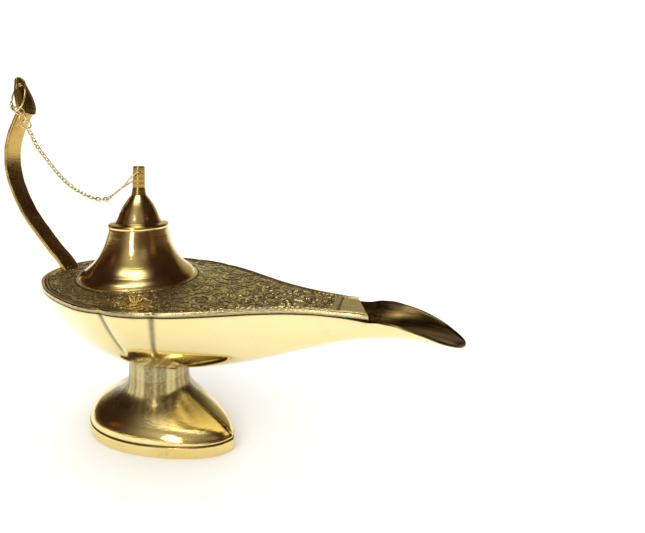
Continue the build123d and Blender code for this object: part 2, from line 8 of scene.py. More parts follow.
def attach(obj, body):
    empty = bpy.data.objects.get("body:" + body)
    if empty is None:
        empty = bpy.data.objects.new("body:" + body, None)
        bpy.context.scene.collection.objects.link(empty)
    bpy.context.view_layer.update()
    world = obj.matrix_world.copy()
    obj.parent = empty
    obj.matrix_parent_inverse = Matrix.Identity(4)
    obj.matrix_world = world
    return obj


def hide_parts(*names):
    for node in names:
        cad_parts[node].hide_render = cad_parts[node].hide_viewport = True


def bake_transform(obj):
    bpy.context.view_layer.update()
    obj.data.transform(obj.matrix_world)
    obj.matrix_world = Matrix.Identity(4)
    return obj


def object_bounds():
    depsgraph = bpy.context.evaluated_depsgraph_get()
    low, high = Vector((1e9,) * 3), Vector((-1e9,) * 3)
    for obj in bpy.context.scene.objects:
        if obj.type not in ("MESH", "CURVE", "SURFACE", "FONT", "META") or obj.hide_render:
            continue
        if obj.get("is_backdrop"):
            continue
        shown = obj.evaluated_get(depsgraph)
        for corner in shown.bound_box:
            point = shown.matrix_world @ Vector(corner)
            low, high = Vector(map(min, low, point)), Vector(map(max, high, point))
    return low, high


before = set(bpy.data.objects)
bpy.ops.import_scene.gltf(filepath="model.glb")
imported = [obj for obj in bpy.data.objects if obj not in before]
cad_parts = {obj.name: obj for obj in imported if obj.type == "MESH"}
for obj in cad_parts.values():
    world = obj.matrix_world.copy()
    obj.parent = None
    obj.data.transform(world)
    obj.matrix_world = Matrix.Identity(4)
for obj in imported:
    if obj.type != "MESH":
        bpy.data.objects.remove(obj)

plain = lambda b: [[float(c) for c in p] for p in b]
loaded_bounds = plain(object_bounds())

MM = 0.001
FRAME_X = -12.9


# ------------------------------------------------------------------ curves
def pchip(table):
    """Monotone cubic through (x, value) pairs, straight past the ends."""
    xs = np.array([p[0] for p in table], float)
    ys = np.array([p[1] for p in table], float)
    h = np.diff(xs)
    d = np.diff(ys) / h
    m = np.zeros(len(xs))
    m[0], m[-1] = d[0], d[-1]
    for i in range(1, len(xs) - 1):
        if d[i - 1] * d[i] > 0:
            w1, w2 = 2 * h[i] + h[i - 1], h[i] + 2 * h[i - 1]
            m[i] = (w1 + w2) / (w1 / d[i - 1] + w2 / d[i])

    def value(x):
        x = np.asarray(x, float)
        c = np.clip(x, xs[0], xs[-1])
        i = np.clip(np.searchsorted(xs, c, side="right") - 1, 0, len(xs) - 2)
        t = (c - xs[i]) / h[i]
        y = ((2 * t**3 - 3 * t**2 + 1) * ys[i] + (t**3 - 2 * t**2 + t) * h[i] * m[i]
             + (-2 * t**3 + 3 * t**2) * ys[i + 1] + (t**3 - t**2) * h[i] * m[i + 1])
        return y + np.where(x < xs[0], (x - xs[0]) * m[0], 0) + np.where(x > xs[-1], (x - xs[-1]) * m[-1], 0)

    return value


def softened(f, lo, hi, sigma, step=0.05):
    """f with its small kinks rounded over sigma."""
    pad = 5 * sigma
    x = np.arange(lo - pad, hi + pad, step)
    k = np.arange(-4 * sigma, 4 * sigma + step, step)
    g = np.exp(-(k / sigma) ** 2 / 2)
    g /= g.sum()
    y = np.convolve(f(x), g, "same")
    return lambda q: np.interp(q, x, y)


def spline(points, count, closed=False):
    """Natural cubic curve through points, evenly spaced along its length."""
    p = np.array(points, float)
    if closed:
        n0 = len(p)
        p = np.vstack([p, p, p, p[:1]])
    s = np.concatenate([[0], np.cumsum(np.linalg.norm(np.diff(p, axis=0), axis=1))])
    n = len(p)
    h = np.diff(s)
    A = np.zeros((n, n))
    B = np.zeros((n, p.shape[1]))
    A[0, 0] = A[-1, -1] = 1
    for i in range(1, n - 1):
        A[i, i - 1], A[i, i], A[i, i + 1] = h[i - 1], 2 * (h[i - 1] + h[i]), h[i]
        B[i] = 6 * ((p[i + 1] - p[i]) / h[i] - (p[i] - p[i - 1]) / h[i - 1])
    M = np.linalg.solve(A, B)
    lo, hi = (s[n0], s[2 * n0]) if closed else (s[0], s[-1])
    q = np.linspace(lo, hi, max(count * 6, 400))

    def at(q):
        i = np.clip(np.searchsorted(s, q, side="right") - 1, 0, n - 2)
        a, b = (s[i + 1] - q)[:, None], (q - s[i])[:, None]
        hh = h[i][:, None]
        return (M[i] * a**3 / (6 * hh) + M[i + 1] * b**3 / (6 * hh)
                + (p[i] / hh - M[i] * hh / 6) * a + (p[i + 1] / hh - M[i + 1] * hh / 6) * b)

    d = at(q)
    L = np.concatenate([[0], np.cumsum(np.linalg.norm(np.diff(d, axis=0), axis=1))])
    want = np.linspace(0, L[-1], count + 1)[:-1] if closed else np.linspace(0, L[-1], count)
    return at(np.interp(want, L, q)), L[-1]


def unit(v):
    v = np.array(v, float)
    return v / np.linalg.norm(v)


def step01(x, a, b):
    t = np.clip((np.asarray(x, float) - a) / (b - a), 0, 1)
    return t * t * (3 - 2 * t)


def ripple(x, y, z, size, seed):
    """Slow smooth unevenness, about -1 to 1, as hand finishing leaves."""
    r = np.random.RandomState(seed)
    out = np.zeros(np.broadcast(x, y, z).shape)
    for _ in range(7):
        k = r.normal(size=3)
        k *= (2 * math.pi / (size * r.uniform(0.7, 1.7))) / np.linalg.norm(k)
        out = out + np.sin(k[0] * x + k[1] * y + k[2] * z + r.uniform(0, 6.28))
    return out / 4.0


# ------------------------------------------------------------------ meshes
def build(name, verts, faces, attrs=None, weld=0.002, sharp=38.0, body="root"):
    """Object from millimetre vertices drawn about the foot's stem."""
    v = np.array(verts, float)
    v = np.column_stack([v[:, 0] + FRAME_X, v[:, 1], v[:, 2]]) * MM
    me = bpy.data.meshes.new(name)
    me.from_pydata(v.tolist(), [], [list(f) for f in faces])
    for key, values in (attrs or {}).items():
        a = me.attributes.new(key, "FLOAT", "POINT")
        a.data.foreach_set("value", np.asarray(values, np.float32))
    bm = bmesh.new()
    bm.from_mesh(me)
    if weld:
        bmesh.ops.remove_doubles(bm, verts=bm.verts, dist=weld * MM)
    loose = [x for x in bm.verts if not x.link_faces]
    if loose:
        bmesh.ops.delete(bm, geom=loose, context="VERTS")
    bmesh.ops.recalc_face_normals(bm, faces=bm.faces)
    bm.to_mesh(me)
    bm.free()
    me.shade_smooth()
    me.set_sharp_from_angle(angle=math.radians(sharp))
    ob = bpy.data.objects.new(name, me)
    bpy.context.scene.collection.objects.link(ob)
    return ob


def grid_faces(rows, cols, wrap_rows=False, wrap_cols=False, start=0):
    r = np.arange(rows if wrap_rows else rows - 1)
    c = np.arange(cols if wrap_cols else cols - 1)
    R, C = np.meshgrid(r, c, indexing="ij")
    R2, C2 = (R + 1) % rows, (C + 1) % cols
    f = np.stack([R * cols + C, R * cols + C2, R2 * cols + C2, R2 * cols + C], axis=-1)
    return (f.reshape(-1, 4) + start).tolist()


def revolve(profile, segments=256, axis_x=0.0):
    """Closed (r, z) profile turned about the upright axis."""
    pr = np.array(profile, float)
    a = np.linspace(0, 2 * math.pi, segments, endpoint=False)
    v = np.zeros((segments, len(pr), 3))
    v[..., 0] = axis_x + np.cos(a)[:, None] * pr[None, :, 0]
    v[..., 1] = np.sin(a)[:, None] * pr[None, :, 0]
    v[..., 2] = pr[None, :, 1]
    return v, grid_faces(segments, len(pr), True, True)


def tube(path, radius, closed=False, seg=10):
    p = np.array(path, float)
    n = len(p)
    t = (np.roll(p, -1, 0) - np.roll(p, 1, 0)) if closed else np.gradient(p, axis=0)
    t /= np.linalg.norm(t, axis=1)[:, None]
    up = np.array([0.13, 0.21, 0.97]) if abs(t[0][2]) < 0.9 else np.array([1.0, 0.1, 0])
    nrm = [unit(up - t[0] * (up @ t[0]))]
    for i in range(1, n):
        w = nrm[-1] - t[i] * (nrm[-1] @ t[i])
        nrm.append(unit(w))
    nrm = np.array(nrm)
    bi = np.cross(t, nrm)
    twist = np.zeros(n)
    if closed:
        w = nrm[-1] - t[0] * (nrm[-1] @ t[0])
        ang = math.atan2(unit(w) @ bi[0], unit(w) @ nrm[0])
        twist = -ang * np.arange(n) / n
    a = np.linspace(0, 2 * math.pi, seg, endpoint=False)
    rad = np.broadcast_to(np.asarray(radius, float), (n,))
    A = a[None, :] + twist[:, None]
    v = p[:, None] + rad[:, None, None] * (np.cos(A)[..., None] * nrm[:, None] + np.sin(A)[..., None] * bi[:, None])
    f = grid_faces(n, seg, closed, True)
    v = v.reshape(-1, 3)
    if not closed:
        base = len(v)
        v = np.vstack([v, p[0] - t[0] * rad[0] * 0.5, p[-1] + t[-1] * rad[-1] * 0.5])
        f += [[base, (j + 1) % seg, j] for j in range(seg)]
        f += [[base + 1, (n - 1) * seg + j, (n - 1) * seg + (j + 1) % seg] for j in range(seg)]
    return v, f


class Heap:
    """Several shells gathered into one piece."""

    def __init__(self):
        self.v, self.f, self.n = [], [], 0

    def add(self, v, f):
        v = np.array(v, float).reshape(-1, 3)
        self.f += [[i + self.n for i in q] for q in f]
        self.v.append(v)
        self.n += len(v)

    def build(self, name, **k):
        return build(name, np.vstack(self.v), self.f, **k)


def cut(ob, cutter):
    m = ob.modifiers.new("cut", "BOOLEAN")
    m.object, m.operation, m.solver = cutter, "DIFFERENCE", "EXACT"
    deps = bpy.context.evaluated_depsgraph_get()
    me = bpy.data.meshes.new_from_object(ob.evaluated_get(deps))
    ob.modifiers.clear()
    ob.data = me
    bpy.data.objects.remove(cutter)
    me.shade_smooth()
    me.set_sharp_from_angle(angle=math.radians(35))


def rod(name, centre, axis, radius, half, seg=48):
    """Closed cylinder used to drill a hole."""
    axis = unit(axis)
    side = unit(np.cross(axis, (0.3, 0.2, 0.93) if abs(axis[2]) < 0.9 else (1, 0, 0)))
    other = np.cross(axis, side)
    a = np.linspace(0, 2 * math.pi, seg, endpoint=False)
    ring = radius * (np.cos(a)[:, None] * side + np.sin(a)[:, None] * other)
    c = np.array(centre, float)
    v = np.vstack([c - axis * half + ring, c + axis * half + ring])
    f = [[i, (i + 1) % seg, seg + (i + 1) % seg, seg + i] for i in range(seg)]
    f += [list(range(seg - 1, -1, -1)), list(range(seg, 2 * seg))]
    return build(name, v, f, weld=0)


# ------------------------------------------------------------------ shared shape
RIM_Z = 57.6
NOSE = 113.1
TAIL = -53.6
RIM_HALF = [
    (-53.6, 0.0), (-52.4, 7.6), (-48.6, 15.2), (-41.6, 21.9), (-33.5, 27.6),
    (-20.4, 33.2), (-8.4, 36.2), (-0.4, 36.6), (9.6, 35.2), (19.6, 32.0),
    (29.6, 27.4), (39.6, 21.8), (49.6, 16.2), (59.6, 11.9), (69.6, 9.4),
    (77.6, 8.9), (83.6, 9.7), (89.6, 11.2), (95.0, 11.8), (99.9, 11.6),
    (104.9, 10.9), (108.2, 9.2), (110.8, 6.4), (112.4, 3.2), (113.1, 0.0),
]
half_sq = softened(pchip([(x, y * y) for x, y in RIM_HALF]), TAIL, NOSE, 1.6)
half_width = lambda x: np.sqrt(np.maximum(half_sq(x), 0.0))
keel = softened(pchip([
    (-53.6, 57.6), (-51.2, 50.6), (-49.0, 46.4), (-46.0, 41.7), (-42.5, 37.6),
    (-38.0, 33.5), (-32.9, 30.4), (-26.0, 28.0), (-18.0, 26.3), (-10.0, 25.2),
    (-2.0, 24.8), (6.0, 25.5), (14.0, 26.8), (22.0, 28.2), (31.0, 30.3),
    (42.0, 33.5), (54.0, 38.0), (66.0, 42.8), (76.0, 46.6), (83.0, 48.7),
    (89.2, 50.2), (97.0, 51.5), (103.0, 51.6), (108.0, 51.4), (111.0, 51.0), (113.1, 50.8)]), TAIL, NOSE, 2.2)
top_edge = softened(pchip([
    (TAIL - 1, 57.6), (84.0, 57.6), (87.5, 58.3), (92.0, 58.3), (95.0, 57.7), (99.9, 56.7), (104.9, 55.1),
    (108.2, 53.9), (110.8, 52.8), (113.1, 52.0)]), TAIL, NOSE, 0.8)
# creases: angle, width in degrees, depth in mm
CREASES = [(61.0, 2.4, 0.75), (90.5, 5.5, 1.3)]


def fullness(x):
    """Section exponent: a round keel under the body, a fuller U at the spout."""
    return 0.50 - 0.14 * step01(x, 40.0, 80.0)


def under(x, y):
    """Height of the bowl's underside at a plan point."""
    w = np.maximum(half_width(x), 0.5)
    k = keel(x)
    return k + (RIM_Z - k) * np.clip(np.abs(y) / w, 0, 1) ** (1 / fullness(x))


def crease_cut(x, y):
    """Depth of the lobe creases at a plan point, and how near one is."""
    a = np.degrees(np.arctan2(np.abs(y), x))
    depth = np.zeros(np.shape(a))
    near = np.zeros(np.shape(a))
    for c, w, d in CREASES:
        gap = np.sqrt((a - c) ** 2 + 0.15) - 0.38
        depth = depth + d * np.exp(-np.maximum(gap, 0) / w)
        near = near + np.exp(-(gap / 1.3) ** 2)
    return depth, near


# ------------------------------------------------------------------ bowl
def bowl_loops(nx=600, nt=72):
    u = np.linspace(0, 1, nx)
    s = 0.45 * u + 0.55 * (1 - np.cos(math.pi * u)) / 2
    X = TAIL + 0.01 + (NOSE - TAIL - 0.02) * s
    W = half_width(X)
    W[0] = W[-1] = 0.0
    ZR = top_edge(X)
    ZK = np.minimum(keel(X), ZR - 0.05)
    wall = 1.4
    t = np.linspace(-1, 1, 2 * nt + 1)

    def section(w, zk, zr, t):
        z = zk[:, None] + (zr - zk)[:, None] * np.abs(t)[None] ** 2.2
        y = w[:, None] * np.sign(t)[None] * np.abs(t)[None] ** (2.2 * fullness(X)[:, None])
        return y, z

    lip = np.minimum(wall / 2, W / 2)
    yo, zo = section(W, ZK, ZR - np.minimum(lip, (ZR - ZK) * 0.4), t)
    Wi = np.maximum(W - wall, 0)
    ZKi = np.minimum(ZK + wall, ZR - 0.3)
    ti = np.linspace(1, -1, 2 * (nt // 2) + 1)
    yi, zi = section(Wi, ZKi, ZR - np.minimum(lip, (ZR - ZK) * 0.4), ti)
    phi = np.linspace(0, math.pi, 9)[1:-1]
    lipz = np.minimum(lip, (ZR - ZK) * 0.4)
    yr = (W + Wi)[:, None] / 2 + (W - Wi)[:, None] / 2 * np.cos(phi)[None]
    zr = (ZR - lipz)[:, None] + lipz[:, None] * np.sin(phi)[None]
    Y = np.concatenate([yo, yr, yi, -yr[:, ::-1]], axis=1)
    Z = np.concatenate([zo, zr, zi, zr[:, ::-1]], axis=1)
    outer = np.zeros(Y.shape)
    outer[:, : len(t)] = 1
    XX = np.repeat(X[:, None], Y.shape[1], axis=1)
    # floor of the casting: flat under the stem joint and inside
    no = len(t)
    inner = slice(no + len(phi), no + len(phi) + len(ti))
    Z[:, inner] = np.maximum(Z[:, inner], 27.4)
    # creases and hand finishing
    depth, near = crease_cut(XX, Y)
    fade = step01(Z, 33.0, 42.0)
    r = np.maximum(np.hypot(XX, Y), 1.0)
    f = 1 - depth * fade / r
    f = np.where(np.hypot(XX, Y) > 6, f, 1.0)
    XX, Y = XX * f, Y * f
    wob = ripple(XX, Y, Z, 34.0, 4) * 0.075 + ripple(XX, Y, Z, 13.0, 9) * 0.018
    edge = step01(Z, 25.0, 28.0) * (1 - step01(Z, 55.5, 57.4) * (XX < 86))
    ny = np.sign(Y) * np.minimum(np.abs(Y) / 3, 1)
    Y = Y + wob * edge * ny * outer
    near = near * fade * outer
    # painted shade: a dark band along the top of the bowl's outer wall, under the plate's overhang
    overhang_shade = outer * np.exp(-np.maximum(RIM_Z - Z, 0) / 0.5) * (XX < 84)
    return XX, Y, Z, near, overhang_shade, outer


def stem_shade_streak(t):
    """Lengthwise streaks of painted shade round the stem, by angle."""
    return np.clip(0.84 + 0.20 * np.sin(t * 5 + 1.0) + 0.16 * np.sin(t * 13 + 0.4) + 0.12 * np.sin(t * 31 + 2.0), 0.30, 1)


XX, Y, Z, near, overhang_shade, outer = bowl_loops()
rows, cols = XX.shape
bowl_v = np.stack([XX, Y, Z], axis=-1).reshape(-1, 3)
bowl_f = grid_faces(rows, cols, False, True)
# boss under the bowl, filleted into it where it was soldered and polished over
bt = np.linspace(0, 2 * math.pi, 180, endpoint=False)
bk = np.linspace(0, 1, 26)
boss = []
for k in bk:
    r = 12.36 + 1.9 * k ** 7
    top = under(14.2 * np.cos(bt), 14.2 * np.sin(bt)) + 0.35
    boss.append(np.stack([r * np.cos(bt), r * np.sin(bt), 22.5 + (top - 22.5) * (1 - (1 - k) ** 1.15)], -1))
low = np.stack([2.6 * np.cos(bt), 2.6 * np.sin(bt), np.full(len(bt), 22.5)], -1)
high = np.stack([2.6 * np.cos(bt), 2.6 * np.sin(bt), np.full(len(bt), 26.6)], -1)
boss = np.array([low] + boss + [high])
bowl_f += grid_faces(len(boss), len(bt), True, True, start=len(bowl_v))
extra_n = boss.shape[0] * boss.shape[1]
bowl_v = np.vstack([bowl_v, boss.reshape(-1, 3)])
# dark: darker along the lobe creases, plus painted shade under the plate's overhang, painted shade inside the spout
# darkest next to the plate, and painted shade streaks on the boss under the bowl
bowl = build("bowl_skin", bowl_v, bowl_f, weld=0.004, sharp=50,
             attrs={"dark": np.concatenate([np.clip(near * 0.8 + overhang_shade + 1.0 * (1 - outer) * (1 - step01(XX, 86.0, 95.0)), 0, 1).ravel(),
                                            np.tile(stem_shade_streak(bt) * 0.80, boss.shape[0])]),
                    "inside": np.concatenate([(1 - outer).ravel(), np.zeros(extra_n)])})

# ------------------------------------------------------------------ cover plate
BELL_X = -10.4
PLATE_TOP = 59.0
PLATE_END = 82.0


def plate_plan(x):
    w = half_width(x) + 0.5 - 1.0 * step01(x, 70, 82)
    return np.maximum(w, 0.02)


def crown(x, y):
    r = np.hypot(x - BELL_X, y)
    return 1.6 * (1 - step01(r, 24.2, 31.5))


rng = np.random.RandomState(11)


def spiral(cx, cy, r0, r1, a0, turns, n=60):
    k = np.linspace(0, 1, n)
    a = math.radians(a0) + turns * 2 * math.pi * k
    r = r0 + (r1 - r0) * k ** 0.8
    return np.stack([cx + r * np.cos(a), cy + r * np.sin(a)], axis=1)


def leaf(base, heading, length, width, curl=0.0):
    return (base[0], base[1], math.radians(heading), length, width, curl)


vines, leaves, roses = [], [], []
# scrolls on the near half; the other half mirrors them
SCROLLS = [
    (27.5, 15.0, 6.6, 0.9, 150, -1.6), (43.0, 10.5, 5.2, 0.8, 20, 1.5), (16.5, 24.6, 5.0, 0.8, 250, 1.4),
    (-34.0, 17.5, 5.6, 0.9, 60, -1.5), (57.0, 5.6, 3.4, 0.6, 160, -1.3), (-45.5, 9.5, 4.2, 0.6, 300, 1.4),
    (4.0, 30.2, 3.7, 0.6, 30, -1.3), (-24.5, 26.6, 3.9, 0.6, 200, 1.3),
]
for cx, cy, r1, r0, a0, turns in SCROLLS:
    sp = spiral(cx, cy, r0, r1, a0, turns)
    vines.append(sp)
    roses.append((cx, cy, min(1.9, r1 * 0.36), 6))
    d = np.linalg.norm(np.diff(sp, axis=0), axis=1)
    s = np.concatenate([[0], np.cumsum(d)])
    k = 0
    for at in np.arange(s[-1] * 0.45, s[-1], 3.1):
        i = min(int(np.searchsorted(s, at)), len(sp) - 2)
        tdir = math.degrees(math.atan2(*(sp[i + 1] - sp[i])[::-1]))
        turn = -1 if turns > 0 else 1
        leaves.append(leaf(sp[i], tdir + turn * 48, 4.6 + 1.6 * (k % 2), 1.35, -turn * 0.10))
        k += 1
# linking stems
vines.append(spline([(66, 1.2), (60, 2.2), (53, 2.4), (47, 4.0), (40, 4.6), (33, 6.2), (25, 7.0), (20.5, 12.0), (19, 18.5), (13.0, 27.0)], 90)[0])
vines.append(spline([(-31, 25.5), (-38, 22.6), (-44.5, 17.0), (-49.5, 8.0), (-51, 0.5)], 60)[0])
ring_a = np.radians(np.linspace(-150, 150, 220))
ring_r = 29.6 + 1.4 * np.sin(11 * ring_a)
vines.append(np.stack([BELL_X + ring_r * np.cos(ring_a), ring_r * np.sin(ring_a)], axis=1)[110:])
for i, a in enumerate(np.arange(4, 178, 9.5)):
    r = 28.6 if i % 2 else 27.0
    b = (BELL_X + r * math.cos(math.radians(a)), r * math.sin(math.radians(a)))
    leaves.append(leaf(b, a + (38 if i % 2 else -32), 5.4, 1.6, 0.06))
# middle line: a palmette and a chain of leaves to the spout
for i, x in enumerate((22.0, 30.5, 39.0, 47.0, 54.5, 61.5, 68.0)):
    n = (3 if i < 3 else 2)
    for j in range(n):
        leaves.append(leaf((x, 0.35), 14 + 26 * j, 7.2 - 0.45 * i, 1.55 - 0.08 * i, 0.05))
for j, a in enumerate((180, 158, 136, 112)):
    leaves.append(leaf((-41.5, 1.2 if j else 0.0), a, 8.0 if j else 6.5, 1.8, -0.04))

# small leaves fill what is left
taken = [p for v in vines for p in v[::3]]
for lf in leaves:
    for k in (0.15, 0.5, 0.85):
        taken.append((lf[0] + lf[3] * k * math.cos(lf[2]), lf[1] + lf[3] * k * math.sin(lf[2])))
taken = [tuple(p) for p in taken]
tries = 0
while tries < 2600:
    tries += 1
    x = rng.uniform(-52, 73)
    y = rng.uniform(0.3, 35)
    if y > float(plate_plan(x)) - 3.4 or math.hypot(x - BELL_X, y) < 26.5:
        continue
    near_t = np.array(taken)
    if np.min(np.hypot(near_t[:, 0] - x, near_t[:, 1] - y)) < 1.75:
        continue
    flow = math.degrees(math.sin(x * 0.21 + 1.0) * 2.1 + math.cos(y * 0.33) * 1.7)
    ln = rng.uniform(2.6, 4.4)
    leaves.append(leaf((x, y), flow, ln, rng.uniform(0.75, 1.15), rng.uniform(-0.12, 0.12)))
    for k in (0.0, 0.4, 0.8):
        taken.append((x + ln * k * math.cos(math.radians(flow)), y + ln * k * math.sin(math.radians(flow))))


def kd(lines):
    pts = []
    for ln in lines:
        d = np.linalg.norm(np.diff(ln, axis=0), axis=1)
        s = np.concatenate([[0], np.cumsum(d)])
        q = np.arange(0, s[-1], 0.12)
        pts.append(np.stack([np.interp(q, s, ln[:, 0]), np.interp(q, s, ln[:, 1])], axis=1))
    pts = np.vstack(pts)
    tree = kdtree.KDTree(len(pts))
    for i, p in enumerate(pts):
        tree.insert((p[0], p[1], 0.0), i)
    tree.balance()
    return tree


def relief(px, py, edge):
    """Engraving height in mm: how deep each point lies."""
    ay = np.abs(py)
    flat_x, flat_y = px.ravel(), ay.ravel()
    e = edge.ravel()
    # stippled ground
    cell = 0.95
    gx, gy = np.floor(flat_x / cell), np.floor(flat_y / cell)
    dots = np.zeros(len(flat_x))
    for dx in (-1, 0, 1):
        for dy in (-1, 0, 1):
            cx, cy = gx + dx, gy + dy
            h1 = np.modf(np.abs(np.sin(cx * 12.9898 + cy * 78.233) * 43758.5453))[0]
            h2 = np.modf(np.abs(np.sin(cx * 39.3461 + cy * 11.135) * 24634.6345))[0]
            qx, qy = (cx + 0.2 + 0.6 * h1) * cell, (cy + 0.2 + 0.6 * h2) * cell
            dots = np.maximum(dots, np.exp(-((flat_x - qx) ** 2 + (flat_y - qy) ** 2) / 0.085))
    H = -0.15 - 0.09 * dots
    tree = kd(vines)
    dist = np.array([tree.find((a, b, 0.0))[2] for a, b in zip(flat_x, flat_y)])
    # vines: a rounded cord with a line cut each side
    cord_h = 0.08 * np.sqrt(np.clip(1 - (dist / 0.72) ** 2, 0, 1)) - 0.01
    H = np.where(dist < 0.72, cord_h, H)
    H = np.where((dist >= 0.72) & (dist < 1.0), np.minimum(H, -0.34), H)
    for bx, by, a, ln, wd, curl in leaves:
        m = np.nonzero((np.abs(flat_x - bx) < ln + 0.8) & (np.abs(flat_y - by) < ln + 0.8))[0]
        if not len(m):
            continue
        qx, qy = flat_x[m] - bx, flat_y[m] - by
        u = qx * math.cos(a) + qy * math.sin(a)
        v = -qx * math.sin(a) + qy * math.cos(a) - curl * u * u / ln * 1.6
        k = np.clip(u / ln, 0, 1)
        w = wd * np.sin(math.pi * k ** 0.72) ** 0.85
        w = w * (1 + 0.10 * np.sin(k * 19.0))
        d = np.where((u > 0) & (u < ln), w - np.abs(v), -9)
        top = 0.0 + 0.07 * np.clip(d / (wd * 0.8), 0, 1)
        vein = np.abs(v) < 0.17
        hatch = np.sin((u + np.abs(v) * 1.1) * 2 * math.pi / 0.95) < -0.45
        top = np.where(hatch & (d > 0.28), top - 0.09, top)
        top = np.where(vein & (u < ln * 0.86), top - 0.24, top)
        H[m] = np.where(d > 0, top * step01(d, 0, 0.22) + H[m] * (1 - step01(d, 0, 0.22)), H[m])
        H[m] = np.where((d <= 0) & (d > -0.28), -0.34, H[m])
    for cx, cy, R, n in roses:
        q = np.hypot(flat_x - cx, flat_y - cy)
        m = np.nonzero(q < R + 0.5)[0]
        ang = np.arctan2(flat_y[m] - cy, flat_x[m] - cx)
        lim = R * (0.74 + 0.26 * np.abs(np.cos(ang * n / 2)))
        d = lim - q[m]
        petal = 0.06 - 0.20 * (np.abs(np.sin(ang * n / 2)) > 0.96)
        petal = np.where(q[m] < R * 0.34, 0.12, petal)
        petal = np.where(np.abs(q[m] - R * 0.40) < 0.14, -0.3, petal)
        H[m] = np.where(d > 0, petal, np.where(d > -0.3, -0.34, H[m]))
    # plain frame: strip before the spout, seat under the bell, raised border
    H = H * 1.0
    strip = step01(flat_x, 74.2, 75.0)
    H = H * (1 - strip) - 0.17 * strip
    H = np.where(np.abs(flat_x - 74.6) < 0.32, -0.35, H)
    seat = np.hypot(flat_x - BELL_X, flat_y)
    H = np.where(seat < 25.2, 0.0, H)
    H = np.where(np.abs(seat - 25.5) < 0.3, -0.4, H)
    bead = np.where(np.sin(flat_x * 4.2 + flat_y * 1.3) > 0, 0.02, -0.14)
    H = np.where(e < 2.6, np.where(flat_x < 74.4, bead, 0.0), H)
    H = np.where(np.abs(e - 2.65) < 0.26, -0.44, H)
    H = np.where(np.abs(e - 1.45) < 0.28, -0.42, H)
    H = np.where(e < 1.2, 0.10 - 0.10 * step01(e, 0.9, 1.2), H)
    return H.reshape(px.shape)


def soften_grid(H, passes=1):
    for _ in range(passes):
        Q = H.copy()
        Q[1:-1, 1:-1] = (4 * H[1:-1, 1:-1] + H[:-2, 1:-1] + H[2:, 1:-1] + H[1:-1, :-2] + H[1:-1, 2:]) / 8
        H = Q
    return H


def plate_mesh(nx=470, nv=231):
    u = np.linspace(0, 1, nx)
    x0 = TAIL - 0.45
    s = u - 0.10 * np.sin(math.pi * u) * np.cos(math.pi * u) * 0.9
    x = x0 + (PLATE_END - x0) * (0.25 * (1 - np.cos(math.pi * u / 2)) + 0.75 * u)
    W = plate_plan(x)
    W[0] = 0.4
    v = np.linspace(-1, 1, nv)
    PX = np.repeat(x[:, None], nv, 1)
    PY = W[:, None] * v[None]
    dep, _ = crease_cut(PX, PY)
    reach = np.abs(PY) / np.maximum(W[:, None], 1e-6)
    PX = PX - 0.27 * PY * step01(PX, 62.0, 82.0)
    f = 1 - dep * 0.9 * step01(reach, 0.55, 1.0) / np.maximum(np.hypot(PX, PY), 1)
    PX, PY = PX * f, PY * f
    slope = np.gradient(W, x)
    cosa = 1 / np.sqrt(1 + np.clip(slope, -6, 6) ** 2)
    edge = (W[:, None] - np.abs(W[:, None] * v[None])) * cosa[:, None]
    edge = np.minimum(edge, np.hypot(PX - x0, PY * 0.4) + 0.0 * PX)
    H = soften_grid(relief(PX, PY, edge))
    base = PLATE_TOP + crown(PX, PY)
    round_off = 0.45 - np.sqrt(np.maximum(0.45 ** 2 - np.maximum(0.45 - edge, 0) ** 2, 0))
    top = base + H - round_off
    top = np.where(edge < 0.01, PLATE_TOP - 0.35, top)
    top += ripple(PX, PY, 0 * PX, 24.0, 31) * 0.06
    dark = np.clip((-0.09 - H) / 0.25, 0, 1) ** 1.2
    bottom = np.full(PX.shape, RIM_Z)
    # upright edge between them; its lower row takes dark 1, painted shade down the edge under the plate's overhang
    n = nx * nv
    verts = np.vstack([np.stack([PX, PY, top], -1).reshape(-1, 3), np.stack([PX, PY, bottom], -1).reshape(-1, 3)])
    darks = np.concatenate([dark.ravel(), np.ones(n)])
    cx = (PX[:-1, :-1] + PX[1:, 1:]) / 2
    cy = (PY[:-1, :-1] + PY[1:, 1:]) / 2
    hole = np.hypot(cx - BELL_X, cy) < 17.0
    slot = (np.abs(cx + 48.4) < 1.3) & (np.abs(cy) < 2.6)
    gone = hole | slot
    idx = np.arange(n).reshape(nx, nv)
    quads = np.stack([idx[:-1, :-1], idx[:-1, 1:], idx[1:, 1:], idx[1:, :-1]], -1)
    keep = quads[~gone]
    faces = keep.tolist() + (keep[:, ::-1] + n).tolist()
    # boundary edges of what is kept
    count = {}
    for q in keep.tolist():
        for a, b in zip(q, q[1:] + q[:1]):
            key = (a, b) if a < b else (b, a)
            if key in count:
                count[key] = None
            else:
                count[key] = (a, b)
    for key, e in count.items():
        if e:
            a, b = e
            faces.append([b, a, a + n, b + n])
            for w in (a, b):
                for off in (0, n):
                    p = verts[w + off]
                    r = math.hypot(p[0] - BELL_X, p[1])
                    if r < 18.2:
                        p[0], p[1] = BELL_X + (p[0] - BELL_X) * 17 / r, p[1] * 17 / r
                    elif abs(p[0] + 48.4) < 2.0 and abs(p[1]) < 3.2:
                        if abs(abs(p[0] + 48.4) - 1.3) < abs(abs(p[1]) - 2.6):
                            p[0] = -48.4 + math.copysign(1.3, p[0] + 48.4)
                        else:
                            p[1] = math.copysign(2.6, p[1])
    return verts, faces, darks


pv, pf, pd = plate_mesh()
plate = build("plate_engraved", pv, pf, attrs={"dark": pd}, weld=0.003, sharp=62)

